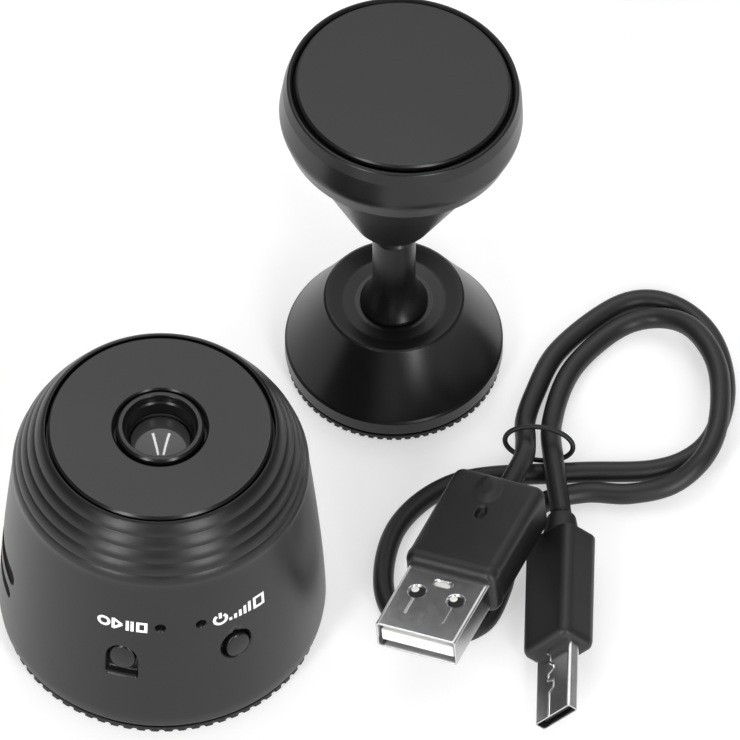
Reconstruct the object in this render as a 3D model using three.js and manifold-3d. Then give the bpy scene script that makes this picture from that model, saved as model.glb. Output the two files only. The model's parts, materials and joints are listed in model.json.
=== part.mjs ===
// A small round dash camera, its magnetic ball-joint stand and its short charging lead.
// Millimetres, +Z up. The origin is the centre of the camera unit's flat base, lens facing up.
import * as THREE from 'three';
import { mergeVertices } from 'three/addons/utils/BufferGeometryUtils.js';
import Module from 'manifold-3d';

const wasm = await Module();
wasm.setup();

// ---- driving dimensions ----
const GAP = 0.3; // clearance that neighbouring pieces keep
const ROUND = 32; // segments of the large round pieces
const SMALL_ROUND = 12; // segments of the small round pieces

// camera unit
const BASE_R = 22.5; // widest radius of the housing
const SHOULDER_R = 20.3; // radius where the side wall meets the rippled shoulder
const SHOULDER_Z = 31.8;
const COVER_R = 15.4; // front cover disc
const COVER_Z = 41.0; // its outer face
const COVER_THICK = 1.8;
const BEZEL_R = 5.95;
const BEZEL_Z = 41.35;
const WALL = 1.4;
const BUTTON_R = 1.85; // half the width of an oval key
const BUTTON_TALL = 1.3; // a key's height over its width
const BUTTON_Z = 16.0;
const BUTTON_ANGLES = { mode: -14.3, power: 29.6 }; // degrees from -Y towards +X
const HOLE_Z = 23.4; // microphone and reset holes
const HOLE_R = 0.6;
const HOLE_ANGLES = { microphone: 0.0, reset: 15.3 };
const KEY_ANGLE = 7.65; // the way that the switch board faces
const KEY_DISTANCE = 13.2; // from the axis to the switch board's outer face
const PORT_WIDTH = 16.4;
const PORT_Z = [14.7, 17.3];
const CARD_SLIT_WIDTH = 14.8;
const CARD_SLIT_Z = [10.9, 12.9];
const CARD_SIZE = [15.0, 11.0, 0.8];
const CARD_Z = 11.9;
const BOARD_Z = 13.2; // underside of the main board
const BOARD_THICK = 1.2;
const SCREW_CIRCLE_R = 18.2;
const SCREW_COUNT = 3;
const LED_COUNT = 4;
const SPACER_COUNT = 2;

// stand
const STAND_X = 31.9;
const STAND_Y = 42.7;
const FOOT_R = 15.15;
const FOOT_Z = 4.2; // top of the straight rim of the base
const CONE_R = 9.45; // rim of the dish on top of the cone
const CONE_Z = 13.6;
const STEM_R = 3.0;
const NECK_R = 2.1; // thin neck below the ball, which sets the tilt
const BALL_R = 4.5;
const BALL_Z = 36.0;
const TILT = 4.0; // degrees that the head leans at rest
const TILT_TOWARDS = 44.0; // degrees from +X towards +Y
const HEAD_R = 16.8; // widest radius of the magnetic head
const HEAD_RIM_R = 15.84;
const HEAD_RIM_U = 24.2; // along the head's axis, from the ball's centre
const PAD_R = 15.0;
const PAD_TOP_U = 24.6;
const COLLAR_LOW_R = 5.6;
const COLLAR_LOW_U = -3.6;
const COLLAR_TOP_R = 13.3;
const COLLAR_TOP_U = 11.9;

// charging lead
const CORD_R = 1.45;
const CORD_SIDES = 8;
const CORD_STEPS = 56;
const USB_A = {
  rear: [47.0, 12.1, 9.0], heading: 23.5, pitch: 6.0, roll: 7.5,
  width: 13.6, thick: 7.7, length: 18.5,
};
const USB_A_SHELL = { width: 12.0, thick: 4.5, length: 12.0, wall: 0.3 };
const MICRO = { rear: [54.9, 7.2, 4.85], heading: 1.5, roll: 47.0, width: 9.0, thick: 6.2, length: 19.0 };
const MICRO_SHELL = { width: 6.85, thick: 1.9, length: 11.0, wall: 0.25 };
const RELIEF_LENGTH = 4.0;
const TIE = { middle: [51.95, 24.2, 4.15], lean: 0.35, turn: -0.15 }; // angles in radians
// The lead's route, from the large plug round the loop to the small plug's tail.
const CORD_ROUTE = [
  [47.12, 12.38, 8.97], [48.7, 16, 8.5], [49.9, 20.2, 6.8], [50.1, 24.6, 4.4], [50.1, 29.4, 2.4],
  [51.4, 34.6, 1.65], [54.6, 42, 1.47], [63.2, 50, 1.45], [67.3, 51, 1.45], [71.2, 49.8, 1.45],
  [74.7, 46.6, 1.45], [77, 41.8, 1.45], [77.8, 34, 1.45], [75.7, 26.9, 1.45], [72.5, 23.5, 1.45],
  [68, 21.7, 1.45], [56.4, 21.2, 1.45], [40, 19.2, 1.45], [32.4, 12, 1.45], [30.5, 1.4, 1.45],
  [32.8, -4.2, 1.45], [38.4, -6.6, 1.45], [43.9, -4.6, 1.45], [46.7, 1.4, 1.45], [48.6, 11.6, 1.45],
  [52.8, 16.2, 1.45], [58.4, 17.8, 1.45], [64.4, 17.5, 1.55], [70.4, 18.5, 2.5], [74.5, 21.6, 4],
  [76.6, 26.6, 4.55], [76.9, 36.2, 4.55], [75.1, 41.4, 4.5], [72.3, 45.2, 3.7], [68.3, 47.2, 2.3],
  [63.8, 46.4, 1.6], [56.8, 39.2, 1.5], [53.8, 29.4, 2.15], [54, 20.4, 4.7], [54.99, 11.35, 4.85],
];

// ---- materials ----
const shade = (color, roughness, metalness) => (
  new THREE.MeshStandardMaterial({ color, roughness, metalness })
);
const FINISH = {
  satin: () => shade(0x3a3b3d, 0.42, 0.0),
  gloss: () => shade(0x303133, 0.2, 0.0),
  painted: () => shade(0x3c3d3f, 0.38, 0.3),
  dark: () => shade(0x111112, 0.6, 0.0),
  rubber: () => shade(0x2a2b2c, 0.75, 0.0),
  glass: () => shade(0x6a6d70, 0.05, 0.0),
  steel: () => shade(0xb9bcc0, 0.28, 0.9),
  nickel: () => shade(0xd6d8da, 0.15, 1.0),
  board: () => shade(0x1d4a2c, 0.5, 0.0),
  chip: () => shade(0x1b1b1d, 0.4, 0.0),
  foil: () => shade(0x8f9498, 0.35, 0.6),
  ivory: () => shade(0xe6e6e2, 0.45, 0.0),
};

// ---- solids ----
// A watertight solid from a three.js geometry: vertices merged, slivers dropped, faces turned out.
function solid(geometry) {
  const bare = geometry.index ? geometry.toNonIndexed() : geometry.clone();
  bare.deleteAttribute('normal');
  bare.deleteAttribute('uv');
  const merged = mergeVertices(bare, 1e-4);
  const points = merged.attributes.position.array;
  const corners = merged.index.array;
  const kept = [];
  let volume = 0;
  const p = (i) => new THREE.Vector3().fromArray(points, i * 3);
  for (let t = 0; t < corners.length; t += 3) {
    const [a, b, c] = corners.slice(t, t + 3);
    if (a !== b && b !== c && c !== a) {
      kept.push(a, b, c);
      volume += p(a).dot(p(b).cross(p(c)));
    }
  }
  const outward = volume > 0 ? kept : kept.reverse();
  return new wasm.Manifold(new wasm.Mesh({
    numProp: 3,
    vertProperties: new Float32Array(points),
    triVerts: new Uint32Array(outward),
  }));
}

function toGeometry(manifold) {
  const mesh = manifold.getMesh();
  const geometry = new THREE.BufferGeometry();
  geometry.setAttribute('position', new THREE.BufferAttribute(mesh.vertProperties, 3));
  geometry.setIndex(new THREE.BufferAttribute(mesh.triVerts, 1));
  geometry.computeVertexNormals();
  return geometry;
}

// A profile of [radius, height] points turned about Z. A closed profile repeats its first point.
function turned(profile, segments = ROUND) {
  const points = profile.map(([r, z]) => new THREE.Vector2(r, z));
  const geometry = new THREE.LatheGeometry(points, segments);
  return solid(geometry.rotateX(Math.PI / 2));
}

const closed = (profile) => [...profile, profile[0]];

function ring(outer, inner, low, high, segments = ROUND) {
  return turned(closed([[inner, low], [outer, low], [outer, high], [inner, high]]), segments);
}

function disc(radius, low, high, segments = ROUND) {
  return turned([[0, low], [radius, low], [radius, high], [0, high]], segments);
}

function block(x, y, z) {
  const geometry = new THREE.BoxGeometry(x[1] - x[0], y[1] - y[0], z[1] - z[0]);
  return solid(geometry.translate((x[0] + x[1]) / 2, (y[0] + y[1]) / 2, (z[0] + z[1]) / 2));
}

function roundedRectangle(width, height, corner) {
  const [x, y] = [width / 2, height / 2];
  const outline = new THREE.Shape();
  outline.moveTo(-x + corner, -y);
  outline.lineTo(x - corner, -y);
  outline.absarc(x - corner, -y + corner, corner, -Math.PI / 2, 0);
  outline.absarc(x - corner, y - corner, corner, 0, Math.PI / 2);
  outline.absarc(-x + corner, y - corner, corner, Math.PI / 2, Math.PI);
  outline.absarc(-x + corner, -y + corner, corner, Math.PI, Math.PI * 1.5);
  return outline;
}

// A bar of rounded rectangular section that runs along +Y from start to end.
function bar(width, height, corner, start, end, segments = 3) {
  const options = { depth: end - start, bevelEnabled: false, curveSegments: segments };
  const geometry = new THREE.ExtrudeGeometry(roundedRectangle(width, height, corner), options);
  return solid(geometry.rotateX(-Math.PI / 2).translate(0, start, 0));
}

// A short cylinder that points outward along -Y turned by angle, at a height on the camera's side.
// tall stretches its round section upwards.
function radialRod(radius, from, to, angle, height, segments = SMALL_ROUND, tall = 1) {
  const geometry = new THREE.CylinderGeometry(radius, radius, to - from, segments).scale(1, 1, tall);
  return solid(turnFromFront(geometry.translate(0, -(from + to) / 2, height), angle));
}

function turnFromFront(geometry, angle) {
  return geometry.rotateZ(THREE.MathUtils.degToRad(angle));
}

const model = new THREE.Group();

function add(parent, name, shape, finish) {
  const mesh = new THREE.Mesh(toGeometry(shape), FINISH[finish]());
  mesh.name = name;
  parent.add(mesh);
}

// The places of equal pieces on a circle round Z, the first one at an angle in degrees.
function around(count, radius, first) {
  return Array.from({ length: count }, (_, i) => {
    const angle = THREE.MathUtils.degToRad(first + (360 * i) / count);
    return [radius * Math.cos(angle), radius * Math.sin(angle), 0];
  });
}

// ---- camera unit ----
const camera = new THREE.Group();
model.add(camera);

// The side wall swells slightly, then five rounded ripples climb the shoulder to the cover's rim.
const RIPPLES = [[19.75, 34.1], [18.8, 36.3], [17.4, 38.7]];
const SIDE_OUTER = [[21.9, 1.3], [BASE_R, 3.6], [21.95, 15.0], [SHOULDER_R, SHOULDER_Z]];
const SIDE_INNER = [[15.7, 38.9], [14.2, 38.9], [14.2, 37.6], [16.9, 36.0],
  [SHOULDER_R - WALL, 31.4], [21.95 - WALL, 15.0], [20.9, 1.3]];

function housing() {
  const profile = closed([...SIDE_OUTER, ...RIPPLES, [16.2, 40.7], [15.7, 40.7], ...SIDE_INNER]);
  let shell = turned(profile, 40);
  for (const at of around(SCREW_COUNT, SCREW_CIRCLE_R, 90)) {
    shell = shell.add(disc(3.0, 4.6, 10.0, SMALL_ROUND).translate(at));
    shell = shell.subtract(disc(1.3, 4.0, 9.0, SMALL_ROUND).translate(at));
  }
  for (const angle of Object.values(BUTTON_ANGLES)) {
    shell = shell.subtract(radialRod(BUTTON_R + GAP, 17, 25, angle, BUTTON_Z, SMALL_ROUND, BUTTON_TALL));
  }
  for (const angle of Object.values(HOLE_ANGLES)) {
    shell = shell.subtract(radialRod(HOLE_R, 17, 25, angle, HOLE_Z, 10));
  }
  shell = shell.subtract(block([-24, -17.8], [-PORT_WIDTH / 2, PORT_WIDTH / 2], PORT_Z));
  return shell.subtract(block([-24, -17.8], [-CARD_SLIT_WIDTH / 2, CARD_SLIT_WIDTH / 2], CARD_SLIT_Z));
}

function frontCover() {
  const low = COVER_Z - COVER_THICK;
  return turned(closed([[6.4, low], [COVER_R, low], [COVER_R, COVER_Z - 0.35], [COVER_R - 0.4, COVER_Z],
    [6.6, COVER_Z], [6.4, COVER_Z - 0.2]]));
}

function lensBezel() {
  return turned(closed([[7.6, 38.3], [7.6, 38.8], [BEZEL_R, 38.8], [BEZEL_R, BEZEL_Z - 0.3],
    [BEZEL_R - 0.35, BEZEL_Z], [5.15, BEZEL_Z], [4.95, 40.3], [4.4, 40.1], [4.4, 38.3]]), 24);
}

function lensBarrel() {
  return turned(closed([[2.6, 30.5], [5.2, 30.5], [5.2, 38.0], [4.5, 38.0], [4.5, 36.7], [2.6, 36.4]]), 20);
}

add(camera, 'housing', housing(), 'satin');
add(camera, 'front_cover', frontCover(), 'gloss');
add(camera, 'lens_bezel', lensBezel(), 'gloss');
add(camera, 'lens_barrel', lensBarrel(), 'dark');
add(camera, 'lens_glass', turned([[0, 37.0], [4.15, 37.0], [4.15, 37.7], [3.2, 38.15], [1.7, 38.45],
  [0, 38.55]], 20), 'glass');
add(camera, 'rear_lens', turned([[0, 31.4], [1.6, 31.6], [2.3, 32.0], [2.3, 32.8], [0, 33.4]], 16), 'glass');
add(camera, 'lens_holder', block([-5.6, 5.6], [-5.6, 5.6], [28.9, 30.2])
  .subtract(block([-4.2, 4.2], [-4.2, 4.2], [28, 31])), 'dark');
add(camera, 'image_sensor', block([-3.4, 3.4], [-3.2, 3.2], [28.9, 29.7]), 'chip');
add(camera, 'sensor_board', disc(11.8, 27.4, 28.6, 24), 'board');
add(camera, 'led_board', ring(13.6, 8.2, 36.2, 37.0, 24), 'board');
around(LED_COUNT, 10.8, 45).forEach((at, i) => {
  const led = turned([[0, 37.3], [1.3, 37.3], [1.3, 38.1], [0.9, 38.7], [0, 38.9]], 8);
  add(camera, `infrared_led_${i + 1}`, led.translate(at), 'glass');
});

function mainBoard() {
  const plate = disc(17.3, BOARD_Z, BOARD_Z + BOARD_THICK, 28);
  const front = turnFromFront(new THREE.BoxGeometry(40, 20, 6).translate(0, -22, BOARD_Z), KEY_ANGLE);
  return plate.subtract(solid(front)).subtract(block([-20, -13.9], [-9, 9], [10, 18]));
}

add(camera, 'main_board', mainBoard(), 'board');
add(camera, 'processor', block([-4, 4], [-4, 4], [14.7, 15.8]), 'chip');
add(camera, 'battery', bar(25, 6, 2, -9.4, 9.4).translate([0, 0, 6.9]), 'foil');
around(SPACER_COUNT, 9.8, 20).forEach((at, i) => {
  add(camera, `board_spacer_${i + 1}`, ring(1.6, 0.8, 14.7, 27.1, 8).translate(at), 'nickel');
});

// Vertical board behind the front wall: two tactile switches, the microphone and the reset switch.
function onKeyBoard(across, from, to, width, height, z) {
  const geometry = new THREE.BoxGeometry(width, to - from, height).translate(across, -(from + to) / 2, z);
  return solid(turnFromFront(geometry, KEY_ANGLE));
}

add(camera, 'switch_board', onKeyBoard(0, KEY_DISTANCE - 1.0, KEY_DISTANCE, 18.5, 13.4, 18.9), 'board');
for (const [name, angle] of Object.entries(BUTTON_ANGLES)) {
  const across = 16.2 * Math.sin(THREE.MathUtils.degToRad(angle - KEY_ANGLE));
  const body = onKeyBoard(across, KEY_DISTANCE + GAP, KEY_DISTANCE + 2.0, 3.6, 3.6, BUTTON_Z);
  add(camera, `${name}_switch`, body, 'steel');
}
for (const [name, angle] of Object.entries(HOLE_ANGLES)) {
  const across = 17.0 * Math.sin(THREE.MathUtils.degToRad(angle - KEY_ANGLE));
  const body = onKeyBoard(across, KEY_DISTANCE + GAP, KEY_DISTANCE + 3.4, 2.6, 2.6, HOLE_Z);
  add(camera, `${name}_capsule`, body, 'foil');
}

// An oval key with a wider foot that the housing keeps in.
function sideButton(angle) {
  const cap = radialRod(BUTTON_R, 19.6, 21.75, angle, BUTTON_Z, SMALL_ROUND, BUTTON_TALL);
  const foot = radialRod(BUTTON_R + 0.8, 18.2, 19.7, angle, BUTTON_Z, SMALL_ROUND, BUTTON_TALL);
  return cap.add(foot).add(radialRod(0.8, 17.5, 18.3, angle, BUTTON_Z, 10));
}

for (const [name, angle] of Object.entries(BUTTON_ANGLES)) {
  add(camera, `${name}_button`, sideButton(angle), 'gloss');
}

// Ports on the left side.
add(camera, 'port_insert', block([-18.3, -17.5], [-8.0, 8.0], [10.2, 18.0])
  .subtract(block([-20, -17], [-4.2, 4.2], [14.5, 17.6]))
  .subtract(block([-20, -17], [-6.2, 6.2], [11.1, 12.7])), 'dark');
add(camera, 'usb_socket', block([-17.2, -11.6], [-3.9, 3.9], [14.7, 17.5])
  .subtract(block([-18, -12.2], [-3.5, 3.5], [15.1, 17.1]))
  .add(block([-16.2, -12.0], [-1.9, 1.9], [15.8, 16.3])), 'nickel');
add(camera, 'card_socket', block([-17.2, -4.4], [-6.6, 6.6], [10.6, 12.9])
  .subtract(block([-18, -4.9], [-6.0, 6.0], [11.1, 12.6])), 'nickel');
add(camera, 'memory_card', block([-20.6, -20.6 + CARD_SIZE[0]], [-CARD_SIZE[1] / 2, CARD_SIZE[1] / 2],
  [CARD_Z - CARD_SIZE[2] / 2, CARD_Z + CARD_SIZE[2] / 2]), 'chip');

// Underside.
function bottomCover() {
  let plate = disc(20.6, 1.5, 3.1);
  for (const at of around(SCREW_COUNT, SCREW_CIRCLE_R, 90)) {
    plate = plate.subtract(disc(2.0, 1.0, 2.6, SMALL_ROUND).translate(at));
    plate = plate.subtract(disc(1.2, 2.0, 4.0, SMALL_ROUND).translate(at));
  }
  return plate;
}

add(camera, 'bottom_cover', bottomCover(), 'satin');
add(camera, 'base_ring', ring(21.8, 16.9, 0, 1.0), 'dark');
add(camera, 'steel_disc', disc(16.5, 0, 1.2), 'steel');
around(SCREW_COUNT, SCREW_CIRCLE_R, 90).forEach((at, i) => {
  const screw = turned([[0, 1.6], [1.7, 1.6], [1.7, 2.3], [0.9, 2.3], [0.9, 8.4], [0, 8.8]], 12);
  add(camera, `bottom_screw_${i + 1}`, screw.translate(at), 'steel');
});

// ---- stand ----
const stand = new THREE.Group();
stand.position.set(STAND_X, STAND_Y, 0);
model.add(stand);

function standBase() {
  return turned(closed([[14.6, 1.3], [FOOT_R, 1.7], [FOOT_R, FOOT_Z - 0.2], [14.9, FOOT_Z],
    [CONE_R + 0.2, CONE_Z - 0.2], [CONE_R, CONE_Z], [8.9, CONE_Z - 0.2], [5.9, 12.5], [1.8, 12.4],
    [1.8, 4.6], [3.9, 4.6], [3.9, 1.3]]), 36);
}

// Column with a flared foot, a thin neck and the ball on top. The ball's arc runs from neck to pole.
function stemWithBall() {
  const profile = [[1.6, 12.7], [5.3, 12.7], [5.3, 13.2], [3.8, 14.8], [STEM_R, 17.6], [STEM_R, 28.3],
    [NECK_R, 30.0]];
  const start = Math.asin(NECK_R / BALL_R);
  for (let i = 0; i <= 7; i += 1) {
    const polar = (Math.PI - start) * (1 - i / 7);
    profile.push([BALL_R * Math.sin(polar), BALL_Z + BALL_R * Math.cos(polar)]);
  }
  profile.push([0, 22.0], [1.6, 21.0]);
  return turned(closed(profile), 20);
}

add(stand, 'stand_base', standBase(), 'painted');
add(stand, 'stand_foot_ring', ring(14.9, 13.1, 0, 1.0), 'dark');
add(stand, 'stand_pad', disc(12.8, 0, 1.0), 'rubber');
add(stand, 'stem_with_ball', stemWithBall(), 'painted');
const stemScrew = [[0, 1.6], [3.5, 1.6], [3.5, 4.2], [1.3, 4.3], [1.3, 20.0], [0, 20.3]];
add(stand, 'stem_screw', turned(stemScrew, 12), 'steel');

// Part of a hollow sphere between two polar angles, measured from +Z, as a profile.
function sphereArc(radius, from, to, steps) {
  const arc = [];
  for (let i = 0; i <= steps; i += 1) {
    const polar = THREE.MathUtils.degToRad(from + ((to - from) * i) / steps);
    arc.push([polar === 0 ? 0 : radius * Math.sin(polar), radius * Math.cos(polar)]);
  }
  return arc;
}

// The cap that rides upright on top of the ball.
function swivelSeat() {
  return turned([...sphereArc(BALL_R + GAP, 0, 36, 3), ...sphereArc(6.0, 36, 0, 3)], 20);
}

// Everything above the ball leans with the head.
const ballFrame = new THREE.Group();
ballFrame.position.set(0, 0, BALL_Z);
stand.add(ballFrame);
const head = new THREE.Group();
const towards = THREE.MathUtils.degToRad(TILT_TOWARDS);
const tiltAxis = new THREE.Vector3(-Math.sin(towards), Math.cos(towards), 0);
head.quaternion.setFromAxisAngle(tiltAxis, THREE.MathUtils.degToRad(TILT));
ballFrame.add(head);

function tiltSeat() {
  const inner = sphereArc(BALL_R + GAP, 72, 115, 4);
  return turned(closed([...inner, [5.3, inner[4][1]], [5.3, inner[0][1]]]), 20);
}

function pressureCup() {
  const inner = sphereArc(6.4, 58, 0, 4);
  return turned([[0, 9.0], [5.0, 9.0], [6.1, 8.0], [6.1, inner[0][1]], ...inner], 20);
}

function collar() {
  return turned(closed([[4.9, COLLAR_LOW_U], [COLLAR_LOW_R, COLLAR_LOW_U], [COLLAR_TOP_R, COLLAR_TOP_U],
    [12.2, COLLAR_TOP_U], [6.6, 2.4], [6.6, 1.8], [5.6, 1.8], [5.6, -2.3], [4.9, -2.5]]), 32);
}

function headShell() {
  return turned(closed([[9.9, 12.2], [13.6, 12.2], [15.4, 14.2], [16.4, 16.0], [HEAD_R, 18.0],
    [16.5, 21.6], [HEAD_RIM_R, HEAD_RIM_U], [15.35, HEAD_RIM_U],
    [15.3, 23.4], [13.6, 23.1], [13.6, 15.2], [9.9, 14.6]]), 36);
}

add(ballFrame, 'swivel_seat', swivelSeat(), 'ivory');
add(head, 'tilt_seat', tiltSeat(), 'ivory');
add(head, 'pressure_cup', pressureCup(), 'ivory');
add(head, 'seat_spring', ring(4.6, 2.6, 9.3, 10.6, 12), 'steel');
add(head, 'head_collar', collar(), 'painted');
add(head, 'head_shell', headShell(), 'painted');
add(head, 'spring_plate', disc(9.5, 10.9, 14.3, 20), 'steel');
add(head, 'magnet', disc(13.2, 15.6, 20.2, 24), 'nickel');
add(head, 'magnet_yoke', disc(13.2, 20.5, 22.8, 24), 'steel');
add(head, 'face_pad', turned([[0, 23.7], [PAD_R, 23.7], [PAD_R, PAD_TOP_U - 0.25], [PAD_R - 0.25, PAD_TOP_U],
  [0, PAD_TOP_U]]), 'gloss');

// ---- charging lead ----
const lead = new THREE.Group();
model.add(lead);

// A plug's frame: +Y is the way the plug points, from the place where its moulding starts.
function plugGroup(rear, heading, pitch, roll) {
  const group = new THREE.Group();
  group.position.set(...rear);
  group.rotation.order = 'ZXY';
  group.rotation.set(THREE.MathUtils.degToRad(pitch), THREE.MathUtils.degToRad(roll),
    Math.PI - THREE.MathUtils.degToRad(heading));
  lead.add(group);
  return group;
}

// Hollow sheet-metal shell round a contact tongue; its rear end sits inside the moulding.
function plugShell(shell, start, buried) {
  const outer = bar(shell.width, shell.thick, 0.5, start - buried, start + shell.length, 2);
  const inner = bar(shell.width - 2 * shell.wall, shell.thick - 2 * shell.wall, 0.3, start + 0.6,
    start + shell.length + 1, 2);
  return outer.subtract(inner);
}

function moulding(plug, shell, buried, corner) {
  const body = bar(plug.width, plug.thick, corner, 0, plug.length);
  const bottom = plug.length - buried - GAP;
  return body.subtract(bar(shell.width + 2 * GAP, shell.thick + 2 * GAP, 0.5, bottom, plug.length + 1, 2));
}

const usbA = plugGroup(USB_A.rear, USB_A.heading, USB_A.pitch, USB_A.roll);
add(usbA, 'usb_a_moulding', moulding(USB_A, USB_A_SHELL, 3, 1.6), 'rubber');
add(usbA, 'usb_a_shell', plugShell(USB_A_SHELL, USB_A.length, 3)
  .subtract(block([-3.9, -1.9], [22.9, 24.9], [1, 9]))
  .subtract(block([1.9, 3.9], [22.9, 24.9], [1, 9])), 'nickel');
const tongueReach = [USB_A.length + 1.0, USB_A.length + 11.4];
add(usbA, 'usb_a_tongue', block([-5.2, 5.2], tongueReach, [-1.2, 0.7]), 'ivory');

const micro = plugGroup(MICRO.rear, MICRO.heading, 0, MICRO.roll);
const tail = solid(
  new THREE.CylinderGeometry(2.7, 2.0, RELIEF_LENGTH, 12).translate(0, -RELIEF_LENGTH / 2 + 0.2, 0),
);
add(micro, 'micro_usb_moulding', moulding(MICRO, MICRO_SHELL, 2.5, 1.5).add(tail), 'rubber');
add(micro, 'micro_usb_shell', plugShell(MICRO_SHELL, MICRO.length, 2.5), 'nickel');
const microReach = [MICRO.length + 0.9, MICRO.length + 10.4];
add(micro, 'micro_usb_tongue', block([-2.4, 2.4], microReach, [-0.25, 0.3]), 'chip');

function cordTube() {
  const section = new THREE.Shape();
  for (let i = 0; i < CORD_SIDES; i += 1) {
    const angle = (i * 2 * Math.PI) / CORD_SIDES;
    const point = [CORD_R * Math.cos(angle), CORD_R * Math.sin(angle)];
    if (i === 0) section.moveTo(...point);
    else section.lineTo(...point);
  }
  const path = new THREE.CatmullRomCurve3(CORD_ROUTE.map((point) => new THREE.Vector3(...point)));
  return solid(
    new THREE.ExtrudeGeometry(section, { steps: CORD_STEPS, bevelEnabled: false, extrudePath: path }),
  );
}

add(lead, 'lead_cord', cordTube(), 'rubber');

// Elastic loop round the two strands behind the plugs.
const tie = new THREE.TorusGeometry(1, 0.1, 6, 20).scale(4.75, 2.75, 4.0);
tie.rotateX(Math.PI / 2 - TIE.lean).rotateZ(TIE.turn).translate(...TIE.middle);
add(lead, 'lead_tie', solid(tie), 'rubber');

export default model;
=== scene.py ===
"""A small round dash camera, its magnetic ball-joint stand and its charging lead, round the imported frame.

Lengths are in millimetres until a piece is made, and the made mesh is in metres in the frame's own axes.
"""

import json
import math

import bmesh
import bpy
import numpy as np
from bpy.props import FloatProperty, FloatVectorProperty, IntProperty, PointerProperty
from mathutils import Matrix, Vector


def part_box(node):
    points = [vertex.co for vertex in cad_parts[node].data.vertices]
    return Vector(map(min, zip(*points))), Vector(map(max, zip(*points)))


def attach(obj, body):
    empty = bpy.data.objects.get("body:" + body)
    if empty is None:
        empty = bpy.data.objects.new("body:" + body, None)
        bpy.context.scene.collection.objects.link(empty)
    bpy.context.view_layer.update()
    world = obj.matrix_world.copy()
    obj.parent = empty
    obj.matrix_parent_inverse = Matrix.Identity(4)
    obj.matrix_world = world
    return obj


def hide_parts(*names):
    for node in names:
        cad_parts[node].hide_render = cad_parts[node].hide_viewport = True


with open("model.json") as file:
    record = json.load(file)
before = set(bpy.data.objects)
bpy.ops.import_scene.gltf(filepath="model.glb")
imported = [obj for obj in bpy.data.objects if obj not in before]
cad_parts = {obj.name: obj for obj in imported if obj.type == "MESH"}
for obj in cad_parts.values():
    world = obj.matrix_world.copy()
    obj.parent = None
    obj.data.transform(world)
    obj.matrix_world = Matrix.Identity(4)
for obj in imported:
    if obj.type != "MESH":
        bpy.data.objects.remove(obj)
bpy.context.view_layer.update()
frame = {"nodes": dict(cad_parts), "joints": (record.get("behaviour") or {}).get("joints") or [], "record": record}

bl_info = {
    "name": "Dash Camera Set",
    "version": (1, 0, 0),
    "blender": (4, 5, 0),
    "location": "View3D > Sidebar > Dash Camera",
    "description": "Builds the camera unit, the magnetic stand and the charging lead",
    "category": "Object",
}

MM = 0.001
TURN = 2 * math.pi
RECORD = frame["record"]
JOINTS = {joint["name"]: joint for joint in frame["joints"]}
SLOT_OF = {part["node"]: part["material_slot"] for part in RECORD["subparts"]}

# Places that come from the frame, in millimetres.
BALL = np.array(JOINTS["head_turn"]["pos_m"]) / MM
HEAD_AXIS = np.array(JOINTS["head_turn"]["axis"], float)
STAND = np.array([BALL[0], BALL[1], 0.0])
COVER_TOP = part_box("front_cover")[1].z / MM
BASE_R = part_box("housing")[1].x / MM

# The plugs' places and the lead's route, as the solids have them.
USB_A_REAR = (47.0, 12.1, 9.0)
USB_A_HEADING = 23.5
USB_A_PITCH = 6.0
USB_A_ROLL = 7.5
MICRO_REAR = (54.9, 7.2, 4.85)
MICRO_HEADING = 1.5
MICRO_ROLL = 47.0
TIE_MIDDLE = (51.95, 24.2, 4.15)
TIE_LEAN = 0.35
TIE_TURN = -0.15
CORD_ROUTE = [
    (47.12, 12.38, 8.97), (48.7, 16, 8.5), (49.9, 20.2, 6.8), (50.1, 24.6, 4.4), (50.1, 29.4, 2.4),
    (51.4, 34.6, 1.65), (54.6, 42, 1.47), (63.2, 50, 1.45), (67.3, 51, 1.45), (71.2, 49.8, 1.45),
    (74.7, 46.6, 1.45), (77, 41.8, 1.45), (77.8, 34, 1.45), (75.7, 26.9, 1.45), (72.5, 23.5, 1.45),
    (68, 21.7, 1.45), (56.4, 21.2, 1.45), (40, 19.2, 1.45), (32.4, 12, 1.45), (30.5, 1.4, 1.45),
    (32.8, -4.2, 1.45), (38.4, -6.6, 1.45), (43.9, -4.6, 1.45), (46.7, 1.4, 1.45), (48.6, 11.6, 1.45),
    (52.8, 16.2, 1.45), (58.4, 17.8, 1.45), (64.4, 17.5, 1.55), (70.4, 18.5, 2.5), (74.5, 21.6, 4),
    (76.6, 26.6, 4.55), (76.9, 36.2, 4.55), (75.1, 41.4, 4.5), (72.3, 45.2, 3.7), (68.3, 47.2, 2.3),
    (63.8, 46.4, 1.6), (56.8, 39.2, 1.5), (53.8, 29.4, 2.15), (54, 20.4, 4.7), (54.99, 11.35, 4.85),
]


# ---------------------------------------------------------------- numbers and grids


def smooth(value, low, high):
    """0 below low, 1 above high, and a smooth S between: t*t*(3-2t) of the clipped share."""
    t = np.clip((value - low) / (high - low), 0.0, 1.0)
    return t * t * (3.0 - 2.0 * t)


def box_distance(x, y, half_x, half_y, corner):
    """Signed distance from points to a rounded rectangle: length of the positive overshoot beyond the shrunk
    rectangle, plus the inside part, less the corner radius."""
    dx = np.abs(x) - (half_x - corner)
    dy = np.abs(y) - (half_y - corner)
    return np.hypot(np.maximum(dx, 0), np.maximum(dy, 0)) + np.minimum(np.maximum(dx, dy), 0) - corner


def line_distance(x, y, points):
    """Distance from points to a polyline: the least of the distances to its straight runs."""
    best = np.full(np.shape(x), np.inf)
    for (ax, ay), (bx, by) in zip(points[:-1], points[1:]):
        ux, uy = bx - ax, by - ay
        t = np.clip(((x - ax) * ux + (y - ay) * uy) / (ux * ux + uy * uy), 0, 1)
        best = np.minimum(best, np.hypot(x - ax - t * ux, y - ay - t * uy))
    return best


def inside(value, low, high):
    """The other side of smooth: 1 below low, 0 above high, and the same S between."""
    return 1 - smooth(value, low, high)


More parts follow.
